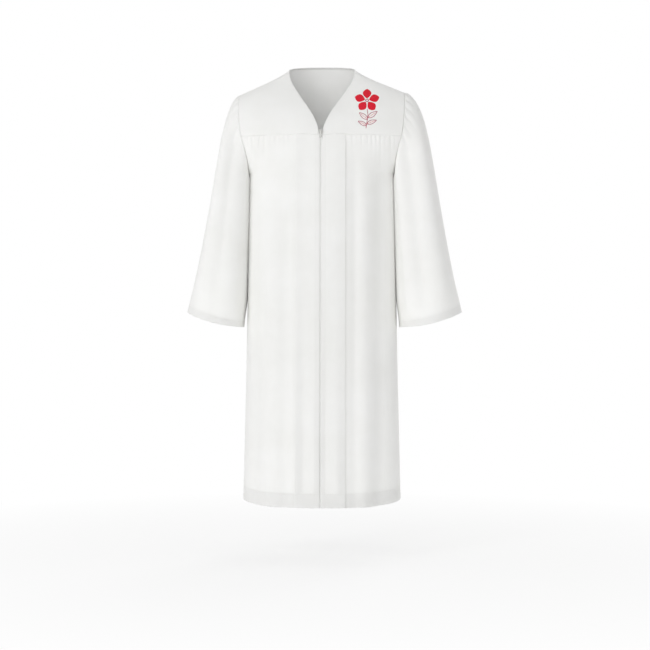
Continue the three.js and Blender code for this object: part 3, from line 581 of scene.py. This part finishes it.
def linked(name, data):
    """An object that shows the data, linked into the scene."""
    obj = bpy.data.objects.new(name, data)
    bpy.context.scene.collection.objects.link(obj)
    return obj


# A small block: the places of its four rings along its length, each with its share of the whole width and
# height, and the four corners of a ring
BLOCK_RINGS = [(-0.5, 0.55), (-0.3, 1), (0.3, 1), (0.5, 0.55)]
BLOCK_CORNERS = [(-0.5, -0.5), (0.5, -0.5), (0.5, 0.5), (-0.5, 0.5)]


def block_faces():
    """The faces of one block, all looking outwards, over its 16 corners counted ring by ring."""
    faces = [(0, 1, 2, 3)]
    for ring in (0, 4, 8):
        for i in range(4):
            following = (i + 1) % 4
            faces.append((ring + 4 + i, ring + 4 + following, ring + following, ring + i))
    return np.array(faces + [(15, 14, 13, 12)])


def blocks_mesh(name, centres, along_way, normals, size):
    """Many small blocks with narrowed ends, each a thread or a tooth: size is length, width and height."""
    length, width, height = size
    sideways = unit(np.cross(along_way, normals))
    corners = [
        centres + along_way * (length * at) + sideways * (width * a * full) + normals * (height * b * full)
        for at, full in BLOCK_RINGS
        for a, b in BLOCK_CORNERS
    ]
    points = np.stack(corners, axis=1)
    first_corners = len(corners) * np.arange(len(points))
    quads = (block_faces()[None] + first_corners[:, None, None]).reshape(-1, 4)
    mesh = bpy.data.meshes.new(name)
    mesh.from_pydata((points / 1000).reshape(-1, 3).tolist(), [], quads.tolist())
    mesh.update()
    return linked(name, mesh)


def grid_mesh(name, points, tube=False):
    """A sheet of quads over a grid of points in millimetres, put into a mesh in metres. A tube's last column
    is its first one again. The cloth UV map holds lengths along the cloth in metres."""
    rows, cols = points.shape[:2]
    if tube:
        cols -= 1
    index = np.arange(rows * cols).reshape(rows, cols)
    if tube:
        index = np.concatenate([index, index[:, :1]], axis=1)
    quads = np.stack([index[:-1, :-1], index[1:, :-1], index[1:, 1:], index[:-1, 1:]], axis=-1).reshape(-1, 4)
    mesh = bpy.data.meshes.new(name)
    mesh.vertices.add(rows * cols)
    mesh.vertices.foreach_set("co", (points[:, :cols] / 1000).astype(np.float32).ravel())
    mesh.loops.add(quads.size)
    mesh.loops.foreach_set("vertex_index", quads.astype(np.int32).ravel())
    mesh.polygons.add(len(quads))
    mesh.polygons.foreach_set("loop_start", np.arange(0, quads.size, 4, dtype=np.int32))
    mesh.polygons.foreach_set("use_smooth", np.ones(len(quads), dtype=bool))
    lengths_u = np.linalg.norm(np.diff(points, axis=1, append=points[:, -1:]), axis=-1)
    lengths_v = np.linalg.norm(np.diff(points, axis=0, append=points[-1:]), axis=-1)
    u = np.concatenate([np.zeros((rows, 1)), np.cumsum(lengths_u, axis=1)[:, :-1]], axis=1)
    v = np.concatenate([np.zeros((1, points.shape[1])), np.cumsum(lengths_v, axis=0)[:-1]], axis=0)
    flat = np.stack([u, v], axis=-1) / 1000
    corner = np.stack([flat[:-1, :-1], flat[1:, :-1], flat[1:, 1:], flat[:-1, 1:]], axis=2).reshape(-1, 2)
    mesh.uv_layers.new(name="cloth").data.foreach_set("uv", corner.astype(np.float32).ravel())
    mesh.update(calc_edges=True)
    mesh.validate()
    return linked(name, mesh)


def thicken(obj, thickness):
    """A wall of the given thickness in millimetres, half to each side of the sheet."""
    wall = obj.modifiers.new("wall", "SOLIDIFY")
    wall.thickness = thickness / 1000
    wall.offset = 0
    wall.use_rim = True


# Materials
def linear(hex_colour):
    """sRGB hex to linear: c / 12.92 below 0.04045, else ((c + 0.055) / 1.055) to the power 2.4."""
    channels = [int(hex_colour[i:i + 2], 16) / 255 for i in (1, 3, 5)]
    return tuple(c / 12.92 if c <= 0.04045 else ((c + 0.055) / 1.055) ** 2.4 for c in channels) + (1.0,)


def add(tree, kind, values=None, links=None, **settings):
    """Adds a node: its properties, its sockets' values and its links from other nodes' outputs."""
    node = tree.nodes.new(kind)
    for key, value in settings.items():
        setattr(node, key, value)
    for key, value in (values or {}).items():
        node.inputs[key].default_value = value
    for key, source in (links or {}).items():
        tree.links.new(source, node.inputs[key])
    return node


def new_material(name):
    material = bpy.data.materials.new(name)
    material.use_nodes = True
    material.node_tree.nodes.clear()
    return material, material.node_tree


def finished(tree, values, links=None):
    """A Principled shader with these values, joined to the material's output."""
    shader = add(tree, "ShaderNodeBsdfPrincipled", values, links)
    add(tree, "ShaderNodeOutputMaterial", None, {"Surface": shader.outputs["BSDF"]})


def bands(tree, source, spacing, direction, distortion=0.0):
    """A wave texture with bands the given millimetres apart; at a scale of 1 they are 2 pi / 20 m apart."""
    values = {"Scale": 2 * math.pi / 20 / (spacing / 1000), "Distortion": distortion}
    wave = add(tree, "ShaderNodeTexWave", values, {"Vector": source}, bands_direction=direction)
    return wave.outputs["Fac"]


def object_place(tree):
    return add(tree, "ShaderNodeTexCoord").outputs["Object"]


def cloth_place(tree):
    return add(tree, "ShaderNodeUVMap", uv_map="cloth").outputs["UV"]


def stretched(tree, source, scale):
    return add(tree, "ShaderNodeMapping", {"Scale": scale}, {"Vector": source}).outputs["Vector"]


def noise(tree, source, scale, detail):
    values = {"Scale": scale, "Detail": detail}
    return add(tree, "ShaderNodeTexNoise", values, {"Vector": source}).outputs["Fac"]


def two_tone(tree, source, dark, light, span=(0.0, 1.0)):
    """A ramp from one colour to another between two values of the source."""
    ramp = add(tree, "ShaderNodeValToRGB", None, {"Fac": source})
    for element, position, colour in zip(ramp.color_ramp.elements, span, (dark, light)):
        element.position = position
        element.color = linear(colour)
    return ramp.outputs["Color"]


def relief(tree, height, strength, distance, normal=None):
    """A bump of the given distance in millimetres, on top of another one if that is given."""
    values = {"Strength": strength, "Distance": distance / 1000}
    links = {"Height": height, "Normal": normal} if normal else {"Height": height}
    return add(tree, "ShaderNodeBump", values, links).outputs["Normal"]


def woven_polyester():
    """Matt plain-weave polyester: crossed threads drawn 1.2 mm apart where real ones are 0.3 mm, faint slubs
    along the warp, soft handling creases 20 to 70 mm across, and light that passes a little way in."""
    material, tree = new_material("woven_polyester")
    place = object_place(tree)
    uv = cloth_place(tree)
    tone = noise(tree, place, 9, 3)
    colour = two_tone(tree, tone, "#F2F2EF", "#F7F7F5", (0.3, 0.7))
    crease = noise(tree, stretched(tree, place, (26, 26, 5)), 1, 4)
    slub = noise(tree, stretched(tree, uv, (900, 40, 1)), 1, 2)
    threads = {0: bands(tree, uv, 1.2, "X", 0.3), 1: bands(tree, uv, 1.2, "Y", 0.3)}
    weave = add(tree, "ShaderNodeMath", None, threads, operation="ADD").outputs[0]
    creased = relief(tree, crease, 0.45, 3)
    slubbed = relief(tree, slub, 0.1, 0.4, creased)
    woven = relief(tree, weave, 0.1, 0.3, slubbed)
    values = {
        "Roughness": 0.86, "Sheen Weight": 0.12, "Sheen Roughness": 0.5, "Specular IOR Level": 0.3,
        "Subsurface Weight": 0.4, "Subsurface Radius": (1, 1, 1), "Subsurface Scale": 0.0022,
    }
    finished(tree, values, {"Base Color": colour, "Normal": woven})
    return material


def woven_tape():
    """The zip's tape: a closer, flatter weave with ribs 0.9 mm apart along its length and soiled a little."""
    material, tree = new_material("woven_tape")
    place = object_place(tree)
    soil = noise(tree, place, 60, 3)
    colour = two_tone(tree, soil, "#E6E6E2", "#F1F1EE", (0.3, 0.7))
    ribbed = relief(tree, bands(tree, place, 0.9, "X"), 0.4, 0.3)
    finished(tree, {"Roughness": 0.8}, {"Base Color": colour, "Normal": ribbed})
    return material


def sewing_thread():
    """Spun polyester thread: its two plies show as slanting grooves 0.6 mm apart, with painted shade
    that makes the grooves a little darker than the rest."""
    material, tree = new_material("sewing_thread")
    twist = bands(tree, object_place(tree), 0.6, "DIAGONAL", 0.4)
    # The colour is darker where the twist bands are low: painted shade in the grooves between the plies.
    colour = two_tone(tree, twist, "#E2E2DE", "#F5F5F2")
    grooved = relief(tree, twist, 0.4, 0.2)
    finished(tree, {"Roughness": 0.7, "Sheen Weight": 0.15}, {"Base Color": colour, "Normal": grooved})
    return material


def nylon_coil():
    """Drawn nylon: milky, so light passes into it, and glossy where faint scuffs haven't dulled it."""
    material, tree = new_material("nylon_coil")
    scuff = noise(tree, object_place(tree), 500, 3)
    dulled = add(tree, "ShaderNodeMapRange", {"To Min": 0.3, "To Max": 0.55}, {"Value": scuff})
    colour = two_tone(tree, scuff, "#E0E0DC", "#EFEFEB", (0.3, 0.7))
    values = {"Subsurface Weight": 0.4, "Subsurface Radius": (1, 1, 1), "Subsurface Scale": 0.0005}
    finished(tree, values, {"Base Color": colour, "Roughness": dulled.outputs["Result"]})
    return material


def enamelled_metal():
    """Die-cast zinc under white enamel, pooled and worn a little unevenly, and coloured grey as painted
    shade: smooth and a little glossy.
    """
    material, tree = new_material("enamelled_metal")
    wear = noise(tree, object_place(tree), 420, 3)
    # Both greys are far darker than white enamel: painted shade. The wear noise varies it at random between
    # them.
    colour = two_tone(tree, wear, "#A4A4A0", "#CBCBC7")
    pooled = relief(tree, wear, 0.15, 0.2)
    values = {"Roughness": 0.3, "Coat Weight": 0.4, "Coat Roughness": 0.15}
    finished(tree, values, {"Base Color": colour, "Normal": pooled})
    return material


def satin_stitch(name, colour, shade):
    """Rayon thread laid side by side across each shape: fine ridges, painted shade darkening the hollows
    between them, and a soft lengthwise shine.
    """
    material, tree = new_material(name)
    threads = bands(tree, cloth_place(tree), 0.8, "Y", 0.6)
    # The darker colour falls where the bands are low: painted shade between the threads.
    threads_painted_shade = two_tone(tree, threads, shade, colour)
    ridged = relief(tree, threads, 0.5, 0.4)
    values = {"Roughness": 0.5, "Specular IOR Level": 0.3, "Anisotropic": 0.4}
    finished(tree, values, {"Base Color": threads_painted_shade, "Normal": ridged})
    return material


# The camera
def photo_camera():
    turn = math.radians(CAMERA_TURN)
    lens = bpy.data.cameras.new("photo_camera")
    lens.sensor_fit = "HORIZONTAL"
    lens.angle = 2 * math.atan(VIEW_WIDTH / 2 / CAMERA_DISTANCE)
    camera = linked("photo_camera", lens)
    x, y, z = CAMERA_AIM
    camera.location = (
        (x + CAMERA_DISTANCE * math.sin(turn)) / 1000,
        (y - CAMERA_DISTANCE * math.cos(turn)) / 1000,
        z / 1000,
    )
    camera.rotation_euler = (math.pi / 2, 0, turn)
    bpy.context.scene.camera = camera


photo_camera()

# Floor, sky and lamps: the floor's height and the radii of its rings, and how its glow grows from a share
# under the robe to the whole between two distances in metres. A lamp's row is its place, aim, size and power
FLOOR_Z = -1390
FLOOR_RINGS = [0.001, 1500, 3000, 6000, 20000]
FLOOR_GLOW = {"From Min": 1.42, "From Max": 2.2, "To Min": 0.72}
SKY_LIGHT = 0.56
WHITE = (1, 1, 1, 1)
LAMPS = [
    ("key", (-2.7, -3.2, 1.5), (0, 0, -0.6), 1.8, 43),
    ("front", (-0.5, -4.4, 0.7), (0, 0, -0.6), 1.6, 31),
    ("back", (1.4, 3.4, 1.2), (0, 0, -0.5), 2.0, 34),
]


def sky():
    """White where the camera sees it, and a dimmer light on everything else."""
    world = bpy.data.worlds.new("studio")
    bpy.context.scene.world = world
    world.use_nodes = True
    tree = world.node_tree
    tree.nodes.clear()
    seen = add(tree, "ShaderNodeLightPath").outputs["Is Camera Ray"]
    lit = add(tree, "ShaderNodeBackground", {"Color": WHITE, "Strength": SKY_LIGHT}).outputs[0]
    white = add(tree, "ShaderNodeBackground", {"Color": WHITE, "Strength": 1.0}).outputs[0]
    both = add(tree, "ShaderNodeMixShader", None, {0: seen, 1: lit, 2: white}).outputs[0]
    add(tree, "ShaderNodeOutputWorld", None, {"Surface": both})


def paper_floor():
    """White paper that glows a little under the robe and wholly further out, where it meets the white sky."""
    turn = -np.linspace(0, 2 * np.pi, 65)[None, :]
    radius = np.array(FLOOR_RINGS)[:, None]
    points = vec(radius * np.cos(turn), radius * np.sin(turn), FLOOR_Z)
    floor = grid_mesh("floor", points, tube=True)
    material, tree = new_material("white_paper")
    place = object_place(tree)
    away = add(tree, "ShaderNodeVectorMath", None, {0: place}, operation="LENGTH").outputs["Value"]
    far = add(tree, "ShaderNodeMapRange", FLOOR_GLOW, {"Value": away}).outputs["Result"]
    values = {"Base Color": (0.95, 0.95, 0.95, 1), "Roughness": 0.9}
    paper = add(tree, "ShaderNodeBsdfPrincipled", values).outputs[0]
    glow = add(tree, "ShaderNodeEmission", {"Color": WHITE, "Strength": 1.0}).outputs[0]
    blend = add(tree, "ShaderNodeMixShader", None, {0: far, 1: paper, 2: glow}).outputs[0]
    add(tree, "ShaderNodeOutputMaterial", None, {"Surface": blend})
    floor.data.materials.append(material)


def lamps():
    for name, place, aim, size, power in LAMPS:
        lamp = bpy.data.lights.new(name, "AREA")
        lamp.shape = "DISK"
        lamp.size = size
        lamp.energy = power
        obj = linked(name, lamp)
        obj.location = place
        away = unit(np.array(place) - np.array(aim))
        obj.rotation_euler = (math.acos(away[2]), 0, math.atan2(away[1], away[0]) + math.pi / 2)


bpy.context.scene.view_settings.view_transform = "Standard"
sky()
paper_floor()
lamps()

# The robe's pieces
cloth = woven_polyester()
metal = enamelled_metal()
tape = woven_tape()
thread = sewing_thread()
nylon = nylon_coil()


def dress(name, node, points, tube=False):
    """A cloth piece from a grid of points, in place of its solid."""
    obj = grid_mesh(name, points, tube)
    thicken(obj, CLOTH)
    obj.data.materials.append(cloth)
    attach(obj, "robe")
    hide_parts(node)


def trim(name, centres, along_way, normals, size, material):
    obj = blocks_mesh(name, centres, along_way, normals, size)
    obj.data.materials.append(material)
    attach(obj, "robe")


def stitched(name, line, normals):
    """A row of stitches that lie half sunk in the cloth's outer face."""
    centres, ways, ups = resampled(line, normals, STITCH["pitch"])
    size = (STITCH["length"], STITCH["width"], STITCH["height"])
    trim(name, centres + ups * (CLOTH / 2 + STITCH["lift"]), ways, ups, size, thread)


# Heights of the skirt's rows, closer under the yokes and at the hem
SKIRT_ROWS = np.r_[
    np.linspace(YOKE_SEAM_Z - 0.1, -222, 26),
    np.linspace(-225, -260, 12),
    np.linspace(-264, UNDERARM_Z, 10),
    np.linspace(-308, -1184, 96),
    [-1189, -1192, -1194, -1196, HEM_STITCH_Z, -1200, -1203],
    np.linspace(-1209, HEM_Z, 5)[:-1],
    [HEM_Z + 0.5, HEM_Z],
]
BACK_ROWS = np.r_[
    np.linspace(BACK_SEAM_Z - 0.1, -200, 26),
    np.linspace(-204, UNDERARM_Z, 24),
    SKIRT_ROWS[SKIRT_ROWS < UNDERARM_Z],
]
# Shares of a sleeve's length, closer at its head and at the cuff
SLEEVE_ROWS = np.r_[
    np.linspace(0, 0.2, 34),
    np.linspace(0.21, 0.97, 72),
    0.976, 0.98, CUFF_STITCH, 0.988, 0.992, 0.996, 0.9995, 1,
]
# How many of a grid's last rows turn under, and the one that the stitches follow
HEM_ROWS = 9
HEM_STITCH_ROW = -9
CUFF_ROWS = 7
CUFF_STITCH_ROW = -6
NECK_ROWS = 4
NAPE_ROWS = 3
# A front panel's columns: those turned under beside the zip, the outer layer up to the pleat's edge, and the
# cloth that shows beyond the pleat. The stitches beside the zip begin some rows under the yoke
BAND_COLUMNS = 5
OUTER_LAYER = slice(0, 17)
BEYOND_PLEAT = slice(38, None)
ZIP_STITCH_ROWS = slice(3, -1)


def front(hand, side):
    """A front panel with its hem and the edge beside the zip turned under, and its rows of stitches."""
    points = front_panel(side, np.r_[YOKE_SEAM_Z + np.array(SEAM_ALLOWANCE), SKIRT_ROWS])
    normals = grid_normals(points)
    column = BAND_COLUMNS - 1
    stitched("stitch_zip_" + hand, points[ZIP_STITCH_ROWS, column], normals[ZIP_STITCH_ROWS, column])
    for part, columns in (("band", OUTER_LAYER), ("side", BEYOND_PLEAT)):
        row = HEM_STITCH_ROW
        stitched("stitch_hem_" + part + "_" + hand, points[row, columns], normals[row, columns])
    points, normals = turned_under(points, normals, HEM_ROWS)
    points, _ = turned_under(exchanged(points)[::-1], exchanged(normals)[::-1], BAND_COLUMNS - 1, beyond=0)
    points = exchanged(points[::-1])
    dress("panel_front_" + hand, "front_panel_" + hand, points[:, ::side])


def yoke_front(hand, side):
    """A front yoke with its neck edge turned under."""
    share = np.r_[np.linspace(0, 0.04, 5), np.linspace(0.06, 1, 50)][None, :]
    t = np.linspace(0, 1, 49)[:, None]
    points = exchanged(front_yoke(side, share, t)[:, ::-1])
    points, _ = turned_under(points, grid_normals(points), NECK_ROWS)
    points = exchanged(points)[:, ::-1]
    dress("yoke_front_" + hand, "front_yoke_" + hand, points[:, ::-side])


def arm(hand, side):
    """A sleeve with its cuff turned up inside and stitched."""
    way = np.linspace(0, 1, 241)[None, :]
    points = sleeve(side, way, SLEEVE_ROWS[:, None])
    normals = grid_normals(points, tube=True)
    stitched("stitch_cuff_" + hand, points[CUFF_STITCH_ROW], normals[CUFF_STITCH_ROW])
    points, _ = turned_under(points, normals, CUFF_ROWS - 1)
    dress("arm_" + hand, "sleeve_" + hand, points[:, ::-side], tube=True)


def panel_back():
    """The back panel with its hem turned under and stitched."""
    points = back_panel(np.r_[BACK_SEAM_Z + np.array(SEAM_ALLOWANCE), BACK_ROWS])
    normals = grid_normals(points)
    stitched("stitch_hem_back", points[HEM_STITCH_ROW], normals[HEM_STITCH_ROW])
    points, _ = turned_under(points, normals, HEM_ROWS)
    dress("panel_back", "back_panel", points[:, ::-1])


def yoke_back():
    """The back yoke with the back of the neck edge turned under."""
    share = np.linspace(-1, 1, 161)[None, :]
    t = np.r_[np.linspace(0, 0.95, 44), 0.965, 0.98, 0.99, 1][:, None]
    points = back_yoke(share, t)
    points, _ = turned_under(points, grid_normals(points), NAPE_ROWS, beyond=0)
    dress("yoke_back", "back_yoke", points)


# The zip's coil: its pitch, its top and foot, how far each turn reaches from the middle and lies behind the
# cloth's face, and the size of a turn
COIL = {"pitch": 1.25, "top": -187, "foot": -1220, "reach": 0.75, "behind": 1.25, "size": (2.7, 0.62, 0.8)}


def coil():
    """The zip's closed nylon coil, seen between the two lips: turns from the left and right alternate."""
    z = np.arange(COIL["top"], COIL["foot"], -COIL["pitch"] / 2)
    side = np.where(np.arange(len(z)) % 2 == 0, 1, -1)
    centre_front = plain_point(1, False, 0 * z, z)
    centres = centre_front + vec(side * COIL["reach"], COIL["behind"], 0 * z)
    trim("zip_coil", centres, vec(side, 0, 0 * z), vec(0 * z, -1, 0), COIL["size"], nylon)


# The embroidered flower on the wearer's left yoke, drawn in X and Z and laid on the yoke
FLOWER = {"x": 130, "z": -92, "petals": 5, "inner": 6, "length": 30, "width": 25}
RING = {"radius": 3.8, "width": 2.6}
STEM = [(130.5, -118), (132.5, -136), (131, -150), (127, -176)]
# Leaves: where each starts on the stem, the degrees it points to, its length and its width
LEAVES = [
    ((132, -150), 140, 31, 12),
    ((132, -145), 36, 33, 12.5),
    ((129, -168), 152, 27, 10),
    ((129, -163), 22, 30, 11),
]
OUTLINE_WIDTH = 2.0
VEIN_HALF_WIDTH = 0.5
STEM_HALF_WIDTH = 0.9
LEAF_VEIN_HALF_WIDTH = 0.55
THREAD_HEIGHT = 0.8
THREAD_SUNK = 0.12
# Finding a place on the yoke: the least x and the extent in x and z that the first guess takes, the number of
# steps, and how far apart the two points of a slope are
GUESS = {"x": 40, "wide": 195, "high": 135}
SEARCH_STEPS = 12
SEARCH_REACH = 0.002


def on_yoke(x, z, height):
    """The points of the left front yoke that the front view shows at x and z, raised by height. From a first
    guess, each step moves them by how far they miss."""
    share = np.clip((x - GUESS["x"]) / GUESS["wide"], 0.02, 0.98)
    t = np.clip((z - YOKE_SEAM_Z) / GUESS["high"], 0.02, 0.98)
    for _ in range(SEARCH_STEPS):
        here = front_yoke(1, share, t)
        by_share = (front_yoke(1, share + SEARCH_REACH, t) - here) / SEARCH_REACH
        by_t = (front_yoke(1, share, t + SEARCH_REACH) - here) / SEARCH_REACH
        miss_x, miss_z = x - here[..., 0], z - here[..., 2]
        scale = by_share[..., 0] * by_t[..., 2] - by_share[..., 2] * by_t[..., 0]
        share = np.clip(share + (miss_x * by_t[..., 2] - miss_z * by_t[..., 0]) / scale, 0.005, 0.99)
        t = np.clip(t + (miss_z * by_share[..., 0] - miss_x * by_share[..., 2]) / scale, 0.005, 0.99)
    normal = normal_of(lambda u, v: front_yoke(1, u, v), share, t, 0.004, 0.004, vec(0 * share, -1, 0.3))
    return front_yoke(1, share, t) + normal * (CLOTH / 2 + height)[..., None]


def satin(name, line, half_width, material):
    """A raised strip of thread along a line in X and Z, domed across, its edges sunk into the cloth."""
    across_line = np.linspace(-1, 1, 9)[None, :]
    way = unit(np.gradient(line, axis=0))
    x = line[:, :1] + way[:, 1:] * half_width[:, None] * across_line
    z = line[:, 1:] - way[:, :1] * half_width[:, None] * across_line
    ridge = THREAD_HEIGHT * np.minimum(1, half_width[:, None] / 1.5)
    dome = ridge * np.sqrt(1 - across_line**2) - THREAD_SUNK
    obj = grid_mesh(name, on_yoke(x, z, dome)[:, ::-1])
    obj.data.materials.append(material)
    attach(obj, "robe")


def pointing(degrees):
    return np.array([math.cos(math.radians(degrees)), math.sin(math.radians(degrees))])


def leaf_line(base, degrees, length, width, bulge, end):
    """One edge of a leaf or petal: out from its base along its middle, swollen to one side."""
    s = np.linspace(0, end, 33)
    out = pointing(degrees)
    aside = np.array([-out[1], out[0]])
    swell = bulge * width / 2 * np.sin(np.pi * s**0.85)
    return np.array(base) + out * (length * s)[:, None] + aside * swell[:, None]


def emblem():
    """The flower: petals with a vein each, the ring in its middle, the stem, and the outlined leaves."""
    # The second colour of each is painted shade, laid in the hollows between its threads.
    red = satin_stitch("red_rayon", "#F0102F", "#CC1029")
    rose = satin_stitch("rose_rayon", "#C06878", "#A85867")
    centre = np.array([FLOWER["x"], FLOWER["z"]])
    share = np.linspace(0, 1, 33)
    petal_half_width = FLOWER["width"] / 2 * np.sin(np.pi * share**1.15) ** 0.75 + 0.3
    for k in range(FLOWER["petals"]):
        degrees = 90 + 360 / FLOWER["petals"] * k
        start = centre + FLOWER["inner"] * pointing(degrees)
        middle = leaf_line(start, degrees, FLOWER["length"], 0, 0, 1)
        vein = middle[4:22]
        satin("petal_%d" % (k + 1), middle, petal_half_width, red)
        satin("petal_vein_%d" % (k + 1), vein, np.full(len(vein), VEIN_HALF_WIDTH), rose)
    turn = np.linspace(0, 2 * np.pi, 41)
    ring = centre + RING["radius"] * np.stack([np.cos(turn), np.sin(turn)], axis=-1)
    satin("flower_ring", ring, np.full(41, RING["width"] / 2), rose)
    stem = np.array(STEM, dtype=float)
    heights = np.linspace(stem[0, 1], stem[-1, 1], 41)
    x = np.interp(-heights, -stem[:, 1], stem[:, 0])
    satin("stem", np.stack([x, heights], axis=-1), np.full(41, STEM_HALF_WIDTH), rose)
    for k, (base, degrees, length, width) in enumerate(LEAVES, 1):
        for edge, bulge in (("upper", 1), ("lower", -1)):
            line = leaf_line(base, degrees, length, width, bulge, 1)
            satin("leaf_%s_%d" % (edge, k), line, np.full(33, OUTLINE_WIDTH / 2), rose)
        vein = leaf_line(base, degrees, length, 0, 0, 0.8)
        satin("leaf_vein_%d" % k, vein, np.full(33, LEAF_VEIN_HALF_WIDTH), red)


for hand, side in (("left", 1), ("right", -1)):
    front(hand, side)
    yoke_front(hand, side)
    arm(hand, side)
panel_back()
yoke_back()
coil()
emblem()
FITTINGS = {"zip_tape_left": tape, "zip_tape_right": tape, "zip_slider": metal, "zip_pull": metal}
for node, material in FITTINGS.items():
    solid = bpy.data.objects[node]
    solid.data.materials.clear()
    solid.data.materials.append(material)
